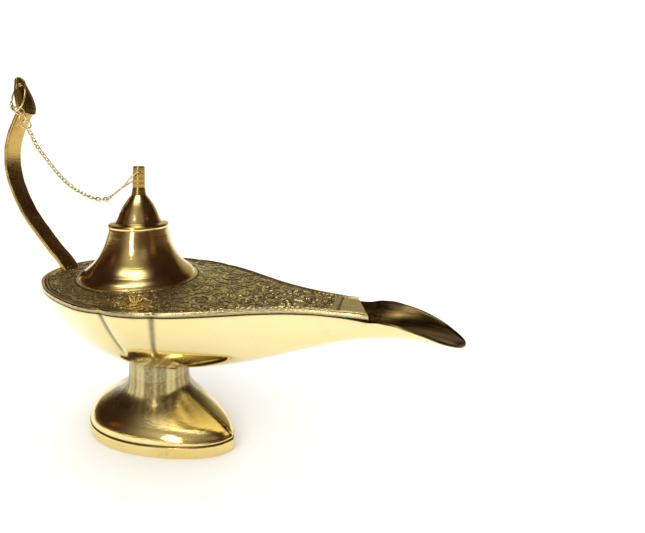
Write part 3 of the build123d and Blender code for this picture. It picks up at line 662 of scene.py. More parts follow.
# ------------------------------------------------------------------ bell, lid, finial
outer_run = spline([(23.88, 61.15), (23.0, 62.2), (21.4, 63.5), (19.2, 65.4), (17.1, 67.9), (15.5, 70.6), (14.2, 73.6),
                    (13.2, 77.0), (12.4, 80.25)], 90)[0]
inner_run = spline([(11.0, 77.6), (11.9, 74.8), (13.2, 71.5), (14.9, 68.6), (17.1, 65.8), (19.6, 63.4), (21.5, 61.6), (22.0, 60.6)], 50)[0]
bell_profile = [(23.75, 60.6), (24.05, 60.68), (24.12, 60.85), (24.05, 61.02), (23.9, 61.1)] + outer_run.tolist() + \
    [(12.28, 80.5), (12.05, 80.6), (11.0, 80.6)] + inner_run.tolist()
bv, bf = revolve(bell_profile, 288, BELL_X)
a = np.arctan2(bv[..., 1], bv[..., 0] - BELL_X)
wob = (0.05 * np.sin(2 * a + 0.7) + 0.035 * np.sin(3 * a + 2.0) + 0.03 * np.sin(5 * a + bv[..., 2] * 0.35))
wob = wob * step01(bv[..., 2], 61.5, 66) * (1 - step01(bv[..., 2], 75, 80))
bv[..., 0] += wob * np.cos(a)
bv[..., 1] += wob * np.sin(a)
bell = build("bell_skin", bv.reshape(-1, 3), bf, sharp=40)

LID_Z = 80.65
cone = spline([(9.75, 82.75), (9.25, 83.7), (8.55, 85.4), (7.45, 87.9), (5.9, 90.6), (4.2, 92.9), (3.05, 94.3)], 60)[0]
hollow = spline([(2.6, 90.2), (4.6, 88.6), (6.4, 85.6), (7.4, 82.6)], 20)[0]
lid_profile = [(12.5, 80.65), (12.7, 80.72), (12.76, 80.95), (12.72, 81.4), (12.6, 81.95), (12.38, 82.2), (12.05, 82.3),
               (11.2, 82.36), (10.4, 82.45), (10.0, 82.58)] + cone.tolist() + [(2.75, 94.5), (1.3, 94.5), (1.3, 90.2)] + hollow.tolist() + \
    [(9.4, 80.2), (9.4, 76.65), (10.75, 76.65), (10.75, 80.65)]
lv, lf_ = revolve(lid_profile, 224, BELL_X)
lid = build("lid_skin", lv.reshape(-1, 3), lf_, sharp=38)

CROSS_Z = 102.7
CROSS_AXIS = unit((0.545, -0.750, 0.375))
shaft = []
for z in np.arange(97.3, 105.71, 0.12):
    groove = 0.018 * (0.5 + 0.5 * math.sin(z * 14.0)) + 0.012 * math.sin(z * 3.1)
    shaft.append((2.6 - 0.1 * (z - 97.2) / 8.7 - groove, z))
fin_profile = [(0.0, 89.2), (1.9, 89.2), (1.9, 90.2), (1.3, 90.2), (1.3, 94.3), (3.15, 94.3), (3.05, 94.7),
               (2.95, 95.2), (2.86, 95.8), (2.78, 96.3), (2.70, 96.8), (2.62, 97.2)] + shaft + \
    [(2.5, 105.9), (2.42, 106.2), (2.2, 106.42), (1.85, 106.5), (0.0, 106.5)]
fv, ff = revolve(fin_profile, 120, BELL_X)
finial = build("finial_turned", fv.reshape(-1, 3), ff, sharp=32)
cut(finial, rod("drill", (BELL_X, 0, CROSS_Z), CROSS_AXIS, 0.85, 6.0))

# ------------------------------------------------------------------ handle
STRAP = [(-47.0, 58.7), (-50.3, 62.3), (-54.6, 65.9), (-62.4, 72.8), (-70.1, 80.2), (-76.3, 87.6), (-81.0, 95.3),
         (-84.2, 103.2), (-85.3, 111.1), (-83.9, 119.1), (-80.6, 126.3), (-76.6, 132.3)]
line, _ = spline(STRAP, 170)
tang = np.gradient(line, axis=0)
tang /= np.linalg.norm(tang, axis=1)[:, None]
rear = np.stack([-tang[:, 1], tang[:, 0]], axis=1)
half_w, thick = 4.2, 1.6
ring = []
b = 0.42
for y, n in ([(-half_w + b, 0)] + [(y, 0) for y in np.linspace(-half_w + b, half_w - b, 15)[1:-1]] + [(half_w - b, 0)]
             + [(half_w - b * (1 - math.sin(q)), b * (1 - math.cos(q))) for q in np.radians((22, 45, 68, 90))]
             + [(half_w - b * (1 - math.cos(q)), thick - b * (1 - math.sin(q))) for q in np.radians((0, 22, 45, 68))]
             + [(half_w - b, thick)] + [(y, thick) for y in np.linspace(half_w - b, -half_w + b, 7)[1:-1]] + [(-half_w + b, thick)]
             + [(-half_w + b * (1 - math.cos(q)), thick - b * (1 - math.sin(q))) for q in np.radians((68, 45, 22, 0))]
             + [(-half_w + b * (1 - math.sin(q)), b * (1 - math.cos(q))) for q in np.radians((90, 68, 45, 22))]):
    ring.append((y, n))
ring = np.array(ring)
hv = np.zeros((len(line), len(ring), 3))
grow = np.interp(np.arange(len(line)), [0, 6, 16, len(line) - 1], [1.30, 1.12, 1.0, 1.0])
crownf = 0.22 * (1 - (ring[:, 0] / half_w) ** 2) * (ring[:, 1] < 0.01)
for i in range(len(line)):
    n = ring[:, 1] * (grow[i] if i < 20 else 1.0) - crownf
    wig = 0.06 * math.sin(i * 0.17) + 0.05 * math.sin(i * 0.41 + 1)
    hv[i, :, 0] = line[i, 0] + rear[i, 0] * n
    hv[i, :, 1] = ring[:, 0] * (1 + 0.012 * math.sin(i * 0.13)) + wig
    hv[i, :, 2] = line[i, 1] + rear[i, 1] * n
heap = Heap()
hf = grid_faces(len(line), len(ring), False, True)
hf += [list(range(len(ring)))[::-1], [(len(line) - 1) * len(ring) + j for j in range(len(ring))]]
heap.add(hv.reshape(-1, 3), hf)
# tang through the plate
tx, ty = 0.85, 2.2
box_v = [(-48.4 + sx * tx, sy * ty, z) for z in (56.0, 60.2) for sx, sy in ((-1, -1), (1, -1), (1, 1), (-1, 1))]
heap.add(box_v, [[3, 2, 1, 0], [4, 5, 6, 7], [0, 1, 5, 4], [1, 2, 6, 5], [2, 3, 7, 6], [3, 0, 4, 7]])
strap_ob = heap.build("handle_strap", sharp=45)

KINK = np.array((-76.6, 0.0, 132.3))
LEAF_UP = unit((-5.5, 0.0, 17.9))
LEAF_N = np.array((LEAF_UP[2], 0.0, -LEAF_UP[0]))
leaf_w = pchip([(-0.6, 4.6), (1.2, 5.1), (4.0, 5.3), (7.5, 5.0), (11.0, 4.2), (14.5, 3.1), (17.2, 1.7), (18.6, 0.0)])
fold = math.radians(17.0)
us = np.concatenate([np.linspace(-0.6, 15.0, 70), 15.0 + 3.6 * np.sin(np.linspace(0, math.pi / 2, 26)[1:])])
ws = np.linspace(-1, 1, 41)
front = np.zeros((len(us), len(ws), 3))
back = np.zeros((len(us), len(ws), 3))
for i, u in enumerate(us):
    w = max(float(leaf_w(u)), 0.03)
    if u > 15.0:
        w = 2.9 * math.sqrt(max(1 - ((u - 15.0) / 3.62) ** 2, 0.0001))
    y = ws * w
    bend = (np.sqrt(y ** 2 + 0.25) - 0.5) * math.sin(fold)
    near_edge = 1 - np.abs(ws)
    lipr = 0.34 * np.exp(-((near_edge * w - 0.5) / 0.42) ** 2) * min(1, w / 2)
    curlf = 0.5 * step01(u, 12, 19) - 0.35 * (1 - step01(u, -0.6, 3.0))
    rnd = 0.4 * (1 - np.sqrt(np.clip(1 - np.clip(1 - near_edge * w / 0.4, 0, 1) ** 2, 0, 1)))
    f0 = bend + lipr - rnd + curlf
    b0 = bend - 1.4 + rnd + curlf
    front[i] = KINK + LEAF_UP * u + np.outer(f0, LEAF_N) + np.outer(y * math.cos(fold * 0.5), (0, 1, 0))
    back[i] = KINK + LEAF_UP * u + np.outer(b0, LEAF_N) + np.outer(y * math.cos(fold * 0.5), (0, 1, 0))
nu, nw = len(us), len(ws)
lvv = np.vstack([front.reshape(-1, 3), back.reshape(-1, 3)])
n = nu * nw
lff = grid_faces(nu, nw) + [[q[3] + n, q[2] + n, q[1] + n, q[0] + n] for q in grid_faces(nu, nw)]
for i in range(nu - 1):
    for j in (0, nw - 1):
        lff.append([i * nw + j, (i + 1) * nw + j, (i + 1) * nw + j + n, i * nw + j + n])
for j in range(nw - 1):
    for i in (0, nu - 1):
        lff.append([i * nw + j, i * nw + j + 1, i * nw + j + 1 + n, i * nw + j + n])
leaf_ob = build("handle_leaf", lvv, lff, sharp=40)
cut(leaf_ob, rod("drill", KINK + LEAF_UP * 14.6, LEAF_N, 1.0, 5.0))

# ------------------------------------------------------------------ foot
BASE_HALF = [(36.0, 0.0), (33.6, 4.3), (29.4, 8.6), (22.6, 13.0), (13.4, 17.3), (3.0, 20.7), (-7.0, 22.0), (-16.6, 20.5),
             (-23.6, 15.4), (-27.8, 8.4), (-29.2, 0.0)]
half_plan, _ = spline(BASE_HALF + [(-27.8, -8.4), (-23.6, -15.4)], 400)
half_plan = half_plan[half_plan[:, 1] >= -0.01]
ang = np.arctan2(np.maximum(half_plan[:, 1], 0), half_plan[:, 0])
rad = np.hypot(half_plan[:, 0], half_plan[:, 1])
order = np.argsort(ang)
ang, rad = ang[order], rad[order]
STEM_R = 12.3
grow_f = softened(pchip([(-1, 1), (0.0, 1.0), (4.0, 1.0), (5.6, 0.97), (7.0, 0.91), (8.5, 0.80), (10.0, 0.64), (11.5, 0.47),
                         (13.0, 0.31), (14.6, 0.18), (16.2, 0.092), (18.0, 0.036), (20.5, 0.006), (22.5, 0.0)]), -1, 22.5, 0.4)


def foot_surface(nth=360, inset=0.0):
    half = nth // 2
    th = np.pi * (np.linspace(0, 1, half + 1) ** 1.25)
    th = np.concatenate([th, -th[::-1][1:-1]])
    rb = np.interp(np.abs(th), ang, rad)
    # round the point of the base just enough to be cast
    rb = np.where(np.abs(th) < 0.02, rb - 0.15, rb)
    return th, rb


th, rb = foot_surface()


def foot_rows(zs, inset, extra=None):
    out = []
    for k, z in enumerate(zs):
        g = float(grow_f(z))
        r = STEM_R + (rb - STEM_R) * g - inset
        if extra is not None:
            r = r + extra[k]
        out.append(np.stack([r * np.cos(th), r * np.sin(th), np.full(len(th), z)], -1))
    return np.array(out)


z_out = np.concatenate([[0.0, 0.12, 0.35], np.linspace(0.7, 3.5, 10), [3.7, 3.85, 4.0, 4.15, 4.3, 4.5], np.linspace(4.8, 14, 56),
                        np.linspace(14.3, 22.0, 24), [22.3, 22.5]])
ex = np.zeros(len(z_out))
ex[0], ex[1] = -0.35, -0.12
for k, z in enumerate(z_out):
    if 0.3 < z < 4.2:
        ex[k] = 0.12 * math.sin((z - 0.3) / 3.9 * math.pi)
    if 3.95 < z < 4.6:
        ex[k] = -0.30 * math.sin((z - 3.95) / 0.65 * math.pi)
outer_rows = foot_rows(z_out, 0.0, ex)
zi = np.concatenate([np.linspace(19.0, 12.6, 20), np.linspace(12.3, 3.0, 36), np.linspace(2.6, 0.0, 6)])
inner_rows = []
for z in zi:
    g = float(grow_f(min(z + 1.5, 22.5))) if z > 2.6 else 1.0
    r = STEM_R + (rb - STEM_R) * g - 1.6
    inner_rows.append(np.stack([r * np.cos(th), r * np.sin(th), np.full(len(th), z)], -1))
inner_rows = np.array(inner_rows)
circle = lambda r, z: np.stack([r * np.cos(th), r * np.sin(th), np.full(len(th), z)], -1)[None]
all_rows = np.concatenate([outer_rows, circle(9.0, 22.5), circle(2.5, 22.5), circle(2.5, 19.0), inner_rows])
fr = all_rows.copy()
wobf = ripple(fr[..., 0], fr[..., 1], fr[..., 2], 17.0, 21) * 0.07
env = step01(fr[..., 2], 4.6, 7.0) * (1 - step01(fr[..., 2], 20.5, 22.0))
env[len(z_out):] = 0
rr = np.maximum(np.hypot(fr[..., 0], fr[..., 1]), 1)
fr[..., 0] += wobf * env * fr[..., 0] / rr
fr[..., 1] += wobf * env * fr[..., 1] / rr
inside_flag = np.zeros(fr.shape[:2])
inside_flag[len(z_out):] = 1
# the foot sits turned a little about its bolt
turn = math.radians(-7.0)
fr[..., 0], fr[..., 1] = (fr[..., 0] * math.cos(turn) - fr[..., 1] * math.sin(turn),
                          fr[..., 0] * math.sin(turn) + fr[..., 1] * math.cos(turn))
foot_dark = np.zeros(fr.shape[:2])
zz = fr[: len(z_out), :, 2]
shade_streak = stem_shade_streak(th + turn)
# painted shade: the upper flare darkened towards the bowl above it, in lengthwise streaks
foot_dark[: len(z_out)] = np.clip(0.92 * step01(zz, 8.0, 13.5) * shade_streak[None], 0, 1)
foot_dark[: len(z_out)] = np.maximum(foot_dark[: len(z_out)], (np.abs(z_out - 4.28) < 0.3)[:, None] * 1.0)
foot = build("foot_skin", fr.reshape(-1, 3), grid_faces(fr.shape[0], fr.shape[1], True, True), sharp=42,
             attrs={"inside": inside_flag.ravel(), "dark": foot_dark.ravel()})

# ------------------------------------------------------------------ tip ring, rings, chain, wire
HOLE = KINK + LEAF_UP * 14.6 - LEAF_N * 0.7
ring_down = unit((6.4, -6.2, -13.5))
ring_out = unit(LEAF_N - ring_down * (LEAF_N @ ring_down))
TA, TB = 7.9, 4.6
ring_centre = HOLE + ring_down * TA
ring_pts = np.array([ring_centre - ring_down * TA * math.cos(q) + ring_out * TB * math.sin(q)
                     for q in np.linspace(0, 2 * math.pi, 120, endpoint=False)])
heap = Heap()
heap.add(*tube(ring_pts, 0.42, True, 12))
# the wire's end, wound round the ring
wrap = []
t0, t1 = 78, 90
seg = ring_pts[t0:t1]
for k in np.linspace(0, 1, 90):
    i = k * (len(seg) - 1.001)
    j = int(i)
    p = seg[j] + (seg[j + 1] - seg[j]) * (i - j)
    td = unit(seg[j + 1] - seg[j])
    s1 = unit(np.cross(td, (0.2, 1, 0.1)))
    s2 = np.cross(td, s1)
    a = k * 2 * math.pi * 4.5
    wrap.append(p + 0.66 * (math.cos(a) * s1 + math.sin(a) * s2))
heap.add(*tube(wrap, 0.26, False, 8))
tip_ring = heap.build("tip_ring_wire", weld=0)

hook = ring_centre + ring_down * TA * 0.985 + ring_out * TB * 0.17
RING_ONE = hook + unit((1.6, -0.75, -1.3)) * (2.3 - 0.42 - 0.3 - 0.22)
CHAIN_START = np.array((-66.9, -5.8, 121.2))
ring_dir = unit(CHAIN_START - RING_ONE)
side_a = unit(np.cross(ring_dir, (0.2, 1.0, 0.1)))
side_b = np.cross(ring_dir, side_a)
heap = Heap()
centres = []
for i in range(3):
    c = RING_ONE + ring_dir * 3.85 * i
    nn = side_a if i % 2 == 0 else side_b
    e2 = np.cross(nn, ring_dir)
    q = np.linspace(0, 2 * math.pi, 40, endpoint=False)
    heap.add(*tube(c + 2.3 * (np.cos(q)[:, None] * ring_dir + np.sin(q)[:, None] * e2), 0.3, True, 10))
    centres.append(c)
rings_ob = heap.build("connector_ring_set", weld=0)

first_link = centres[-1] + ring_dir * (2.3 - 0.3 - 0.24 - 0.1 + 1.5 - 0.24)
CHAIN = [tuple(first_link), (-64.98, -5.62, 118.2), (-62.7, -5.41, 114.7), (-59.31, -5.09, 110.97), (-55.96, -4.77, 107.27),
         (-52.6, -4.47, 103.8), (-48.6, -4.07, 100.1), (-43.2, -3.51, 96.4), (-37.14, -2.89, 93.5), (-31.2, -2.25, 91.75),
         (-26.6, -1.77, 91.7)]
fine, chain_len = spline(CHAIN, 1200)
links = int(round(chain_len / 1.95)) + 1
idx = np.round(np.linspace(0, len(fine) - 1, links)).astype(int)
heap = Heap()
q = np.linspace(0, math.pi, 11)
shape = [(0.5 + 0.76 * math.sin(t), -0.76 * math.cos(t)) for t in q] + [(-0.5 - 0.76 * math.sin(t), 0.76 * math.cos(t)) for t in q]
shape = np.array(shape)
for i, k in enumerate(idx):
    p = fine[k]
    d = unit(fine[min(k + 2, len(fine) - 1)] - fine[max(k - 2, 0)])
    s = unit(np.cross(d, (0.15, 1.0, 0.0)))
    if i % 2 == 0:
        s = np.cross(d, s)
    e2 = np.cross(s, d)
    heap.add(*tube(p + shape[:, :1] * d + shape[:, 1:] * e2, 0.30, True, 8))
chain = heap.build("chain_fine", weld=0)

hole_mid = np.array((BELL_X, 0.0, CROSS_Z))
last_p = fine[-1]
last_dir = unit(fine[-1] - fine[-3])
eye_r = 1.25
wire_dir = unit(hole_mid - last_p)
eye = last_p + last_dir * 0.62 + wire_dir * eye_r
join = hole_mid + (eye - hole_mid) * 0.52
to_join = unit(join - hole_mid)
join_len = np.linalg.norm(join - hole_mid)
across = unit(CROSS_AXIS - to_join * (CROSS_AXIS @ to_join))
at = lambda along, side: hole_mid + to_join * along + across * side
through = lambda k: hole_mid + CROSS_AXIS * k
loop_points = [through(-3.0), through(-1.5), through(0.0), through(1.5), through(3.0), through(4.6) + to_join * 0.5,
               through(4.9) + to_join * 2.6, at(join_len * 0.55, 2.4), at(join_len * 0.85, 0.75), at(join_len, 0.0),
               at(join_len * 0.85, -0.75), at(join_len * 0.5, -2.5), through(-4.4) + to_join * 2.0, through(-4.2) + to_join * 0.5]
heap = Heap()
heap.add(*tube(spline(loop_points, 150, True)[0], 0.37, True, 10))
stem_dir = unit(eye - join)
stem_len = np.linalg.norm(eye - join) - eye_r
s1 = unit(np.cross(stem_dir, (0.1, 1.0, 0.0)))
s2 = np.cross(stem_dir, s1)
k = np.linspace(0, 1, 90)
for ph in (0, math.pi):
    a = k * 2 * math.pi * 4.0 + ph
    pts = join - stem_dir * 1.7 + np.outer(k * (stem_len + 1.8), stem_dir) + 0.24 * (np.outer(np.cos(a), s1) + np.outer(np.sin(a), s2))
    heap.add(*tube(pts, 0.25, False, 8))
eye_n = s1 if not (links - 1) % 2 else np.cross(stem_dir, s1)
e2 = np.cross(eye_n, stem_dir)
q = np.linspace(0, 2 * math.pi, 40, endpoint=False)
heap.add(*tube(eye + eye_r * (np.cos(q)[:, None] * stem_dir + np.sin(q)[:, None] * e2), 0.3, True, 10))
wire = heap.build("lid_wire_twisted", weld=0)


# ------------------------------------------------------------------ materials
def new_material(name):
    m = bpy.data.materials.new(name)
    m.use_nodes = True
    nt = m.node_tree
    for nd in list(nt.nodes):
        nt.nodes.remove(nd)
    out = nt.nodes.new("ShaderNodeOutputMaterial")
    bs = nt.nodes.new("ShaderNodeBsdfPrincipled")
    nt.links.new(bs.outputs[0], out.inputs[0])
    return m, nt, bs


def noise(nt, scale, detail=3.0, rough=0.55, stretch=None):
    tc = nt.nodes.new("ShaderNodeTexCoord")
    n = nt.nodes.new("ShaderNodeTexNoise")
    n.inputs["Scale"].default_value = scale
    n.inputs["Detail"].default_value = detail
    n.inputs["Roughness"].default_value = rough
    if stretch:
        mp = nt.nodes.new("ShaderNodeMapping")
        mp.inputs["Scale"].default_value = stretch
        nt.links.new(tc.outputs["Object"], mp.inputs[0])
        nt.links.new(mp.outputs[0], n.inputs["Vector"])
    else:
        nt.links.new(tc.outputs["Object"], n.inputs["Vector"])
    return n.outputs[0]


def remap(nt, value, a, b, lo, hi):
    r = nt.nodes.new("ShaderNodeMapRange")
    r.inputs["From Min"].default_value = a
    r.inputs["From Max"].default_value = b
    r.inputs["To Min"].default_value = lo
    r.inputs["To Max"].default_value = hi
    nt.links.new(value, r.inputs["Value"])
    return r.outputs[0]


def mix_colour(nt, fac, a, b):
    m = nt.nodes.new("ShaderNodeMix")
    m.data_type = "RGBA"
    for sock, val in ((m.inputs["Factor"], fac), (m.inputs[6], a), (m.inputs[7], b)):
        if isinstance(val, (tuple, list)):
            sock.default_value = (*val, 1.0)
        elif isinstance(val, float):
            sock.default_value = val
        else:
            nt.links.new(val, sock)
    return m.outputs[2]


def math_node(nt, op, a, b=None, c=None, clamp=False):
    m = nt.nodes.new("ShaderNodeMath")
    m.operation = op
    m.use_clamp = clamp
    for i, val in enumerate((a, b, c)):
        if val is None:
            continue
        if isinstance(val, (int, float)):
            m.inputs[i].default_value = val
        else:
            nt.links.new(val, m.inputs[i])
    return m.outputs[0]


def brass(name, light, deep, rough, patina_and_shade=(0.10, 0.055, 0.012), attr=None, inside=False, bump=0.02, spun=False,
          coarse=0.0, spots=0.25, warm=(0.75, 0.42, 0.12)):
    """Polished, lacquered or dulled brass: colour, gloss and fine relief all vary over the piece."""
    m, nt, bs = new_material(name)
    bs.inputs["Metallic"].default_value = 1.0
    big = noise(nt, 38.0, 3.0)
    mid = noise(nt, 190.0, 4.0, 0.6)
    colour = mix_colour(nt, remap(nt, big, 0.34, 0.68, 0.0, 1.0), light, deep)
    fleck = noise(nt, 900.0, 2.0, 0.5)
    colour = mix_colour(nt, math_node(nt, "MULTIPLY", remap(nt, mid, 0.58, 0.74, 0.0, 1.0), spots), colour, warm)
    rough_v = remap(nt, mid, 0.3, 0.7, rough[0], rough[1])
    if attr:
        at_ = nt.nodes.new("ShaderNodeAttribute")
        at_.attribute_name = attr
        dark = math_node(nt, "MULTIPLY", at_.outputs["Fac"], remap(nt, fleck, 0.25, 0.75, 0.75, 1.0), clamp=True)
        # patina_and_shade: patina in engraved grooves, darker lobe creases, and painted shade where the dark attribute
        # marks the bowl rim, spout inside, plate edge and foot flare
        colour = mix_colour(nt, dark, colour, patina_and_shade)
        rough_v = math_node(nt, "ADD", rough_v, math_node(nt, "MULTIPLY", dark, 0.25))
    if inside:
        ai = nt.nodes.new("ShaderNodeAttribute")
        ai.attribute_name = "inside"
        drawn = noise(nt, 70.0, 4.0, 0.65, (0.7, 7.0, 7.0))
        # painted shade: the hollow insides of bowl and foot pulled towards near black, in lengthwise streaks
        inside_shade = mix_colour(nt, remap(nt, drawn, 0.38, 0.64, 0.0, 1.0), (0.035, 0.016, 0.005), (0.30, 0.19, 0.055))
        colour = mix_colour(nt, math_node(nt, "MULTIPLY", ai.outputs["Fac"], 0.94), colour, inside_shade)
        if attr:
            # painted shade: darker still where the dark attribute marks the inside
            colour = mix_colour(nt, math_node(nt, "MULTIPLY", dark, ai.outputs["Fac"]), colour, tuple(c * 0.35 for c in patina_and_shade))
        rough_v = math_node(nt, "ADD", rough_v, math_node(nt, "MULTIPLY", ai.outputs["Fac"], 0.22))
    nt.links.new(colour, bs.inputs["Base Color"])
    nt.links.new(rough_v, bs.inputs["Roughness"])
    # fine scratches and, on turned pieces, rings left by the lathe
    tc = nt.nodes.new("ShaderNodeTexCoord")
    if spun:
        scratch = noise(nt, 60.0, 4.0, 0.6, (1.0, 1.0, 26.0))
    else:
        scratch = noise(nt, 300.0, 3.0, 0.6, (1.0, 3.2, 7.0))
    height = scratch
    if coarse:
        grit = noise(nt, 1500.0, 3.0, 0.6)
        height = math_node(nt, "ADD", scratch, math_node(nt, "MULTIPLY", grit, coarse))
    bp = nt.nodes.new("ShaderNodeBump")
    bp.inputs["Strength"].default_value = bump
    bp.inputs["Distance"].default_value = 0.0004
    nt.links.new(height, bp.inputs["Height"])
    nt.links.new(bp.outputs[0], bs.inputs["Normal"])
    return m


LIGHT = (0.91, 0.79, 0.42)
DEEP = (0.88, 0.71, 0.33)
mat_bowl = brass("bowl_brass", LIGHT, (0.90, 0.77, 0.39), (0.045, 0.10), attr="dark", inside=True, bump=0.03, spots=0.14,
                 patina_and_shade=(0.035, 0.018, 0.005))
mat_bell = brass("bell_brass", (0.88, 0.70, 0.31), (0.80, 0.60, 0.24), (0.07, 0.17), bump=0.14, spun=True, spots=0.35,
                 warm=(0.62, 0.34, 0.10))
mat_lid = brass("lid_brass", (0.86, 0.70, 0.33), (0.78, 0.60, 0.25), (0.08, 0.18), bump=0.10, spun=True, spots=0.30,
                warm=(0.60, 0.36, 0.11))
mat_fin = brass("finial_brass", (0.50, 0.33, 0.09), (0.38, 0.23, 0.05), (0.18, 0.34), bump=0.06, spun=True, coarse=0.3,
                warm=(0.36, 0.20, 0.06))
mat_foot = brass("foot_brass", (0.91, 0.76, 0.36), (0.87, 0.68, 0.27), (0.06, 0.15), attr="dark", inside=True, bump=0.13, spots=0.35,
                 warm=(0.60, 0.38, 0.10))
mat_plate = brass("plate_brass", (0.90, 0.78, 0.42), (0.78, 0.64, 0.30), (0.13, 0.30), attr="dark", patina_and_shade=(0.075, 0.045, 0.013),
                  bump=0.30, coarse=0.5, spots=0.3, warm=(0.50, 0.34, 0.11))
mat_strap = brass("strap_brass", (0.62, 0.43, 0.13), (0.42, 0.26, 0.065), (0.18, 0.34), bump=0.2, coarse=0.35, spots=0.6,
                  warm=(0.30, 0.14, 0.04))
mat_chain = brass("chain_brass_fine", (0.95, 0.80, 0.45), (0.84, 0.66, 0.30), (0.16, 0.28), bump=0.1, coarse=0.2)
mat_bolt = brass("bolt_brass", (0.66, 0.50, 0.22), (0.50, 0.36, 0.14), (0.25, 0.42), bump=0.3, coarse=0.6)


def steel(name):
    m, nt, bs = new_material(name)
    bs.inputs["Metallic"].default_value = 1.0
    n1 = noise(nt, 260.0, 4.0)
    n2 = noise(nt, 900.0, 3.0)
    nt.links.new(mix_colour(nt, remap(nt, n1, 0.35, 0.7, 0, 1), (0.58, 0.57, 0.54), (0.36, 0.33, 0.29)), bs.inputs["Base Color"])
    nt.links.new(remap(nt, n2, 0.3, 0.7, 0.26, 0.48), bs.inputs["Roughness"])
    bp = nt.nodes.new("ShaderNodeBump")
    bp.inputs["Strength"].default_value = 0.25
    bp.inputs["Distance"].default_value = 0.0003
    nt.links.new(n2, bp.inputs["Height"])
    nt.links.new(bp.outputs[0], bs.inputs["Normal"])
    return m


mat_steel = steel("zinc_steel")


def dress(ob, mat):
    ob.data.materials.clear()
    ob.data.materials.append(mat)


for ob, mat, body, slot, stands in (
    (bowl, mat_bowl, "root", "polished_brass", ("bowl",)),
    (plate, mat_plate, "root", "engraved_brass", ("top_plate",)),
    (bell, mat_bell, "root", "polished_brass", ("bell_neck",)),
    (strap_ob, mat_strap, "root", "strap_brass", ("handle",)),
    (leaf_ob, mat_strap, "root", "strap_brass", ("handle",)),
    (foot, mat_foot, "root", "polished_brass", ("foot",)),
    (tip_ring, mat_chain, "root", "chain_brass", ("tip_ring",)),
    (rings_ob, mat_chain, "root", "chain_brass", ("connector_rings",)),
    (lid, mat_lid, "lid", "polished_brass", ("lid_cap",)),
    (finial, mat_fin, "lid", "turned_brass", ("finial",)),
    (wire, mat_chain, "lid", "chain_brass", ("lid_wire",)),
):
    dress(ob, mat)
    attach(ob, body)
    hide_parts(*stands)
dress(chain, mat_chain)
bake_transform(chain)
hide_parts("chain_links")
for node, mat in (("foot_bolt", mat_bolt), ("foot_washer", mat_steel), ("foot_nut", mat_steel)):
    dress(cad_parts[node], mat)

# ------------------------------------------------------------------ stage
scene = bpy.context.scene
me = bpy.data.meshes.new("floor")
S = 1.6
me.from_pydata([(-S, -S, 0), (S, -S, 0), (S, S, 0), (-S, S, 0)], [], [(0, 1, 2, 3)])
floor = bpy.data.objects.new("floor", me)
scene.collection.objects.link(floor)
m, nt, bs = new_material("floor_white")
bs.inputs["Base Color"].default_value = (0.94, 0.94, 0.935, 1)
bs.inputs["Roughness"].default_value = 0.9
bs.inputs["Specular IOR Level"].default_value = 0.0
me.materials.append(m)
floor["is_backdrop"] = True

world = bpy.data.worlds.new("studio")
scene.world = world
world.use_nodes = True
nt = world.node_tree
for nd in list(nt.nodes):
    nt.nodes.remove(nd)
wout = nt.nodes.new("ShaderNodeOutputWorld")
bg = nt.nodes.new("ShaderNodeBackground")
plain_bg = nt.nodes.new("ShaderNodeBackground")
plain_bg.inputs[0].default_value = (1, 1, 1, 1)
plain_bg.inputs[1].default_value = 1.08
lp = nt.nodes.new("ShaderNodeLightPath")
mx = nt.nodes.new("ShaderNodeMixShader")
tc = nt.nodes.new("ShaderNodeTexCoord")
sep = nt.nodes.new("ShaderNodeSeparateXYZ")
nt.links.new(tc.outputs["Generated"], sep.inputs[0])


def ramp(stops):
    r = nt.nodes.new("ShaderNodeValToRGB")
    r.color_ramp.interpolation = "EASE"
    els = r.color_ramp.elements
    while len(els) > 1:
        els.remove(els[-1])
    els[0].position = stops[0][0]
    els[0].color = (*stops[0][1], 1)
    for pos, c in stops[1:]:
        e = els.new(pos)
        e.color = (*c, 1)
    nt.links.new(sep.outputs[2], r.inputs[0])
    return r.outputs[0]


behind = ramp([(0.0, (1.0, 1.0, 0.98)), (0.05, (0.90, 0.89, 0.85)), (0.13, (0.56, 0.50, 0.33)), (0.40, (0.50, 0.43, 0.25)),
               (0.65, (0.13, 0.09, 0.045)), (0.85, (0.05, 0.020, 0.008)), (1.0, (0.030, 0.010, 0.004))])
ahead = ramp([(0.0, (1.0, 1.0, 0.98)), (0.035, (0.62, 0.58, 0.50)), (0.09, (0.12, 0.07, 0.03)), (0.4, (0.030, 0.010, 0.004)),
              (0.75, (0.030, 0.009, 0.004)), (1.0, (0.030, 0.010, 0.004))])
# which way a direction points: towards the camera's side or away
dotp = nt.nodes.new("ShaderNodeVectorMath")
dotp.operation = "DOT_PRODUCT"
dotp.inputs[1].default_value = (0.370, -0.929, 0.0)
nt.links.new(tc.outputs["Generated"], dotp.inputs[0])
rg = nt.nodes.new("ShaderNodeMapRange")
rg.inputs["From Min"].default_value = -0.96
rg.inputs["From Max"].default_value = -0.66
nt.links.new(dotp.outputs["Value"], rg.inputs["Value"])
mc = nt.nodes.new("ShaderNodeMix")
mc.data_type = "RGBA"
nt.links.new(rg.outputs[0], mc.inputs["Factor"])
nt.links.new(behind, mc.inputs[6])
nt.links.new(ahead, mc.inputs[7])


def vmath(op, *ins):
    n = nt.nodes.new("ShaderNodeVectorMath")
    n.operation = op
    for i, v in enumerate(ins):
        if isinstance(v, tuple):
            n.inputs[i].default_value = v
        else:
            nt.links.new(v, n.inputs[i])
    return n


def wmath(op, a, b=0.0):
    n = nt.nodes.new("ShaderNodeMath")
    n.operation = op
    for i, v in enumerate((a, b)):
        if isinstance(v, (int, float)):
            n.inputs[i].default_value = v
        else:
            nt.links.new(v, n.inputs[i])
    return n.outputs[0]


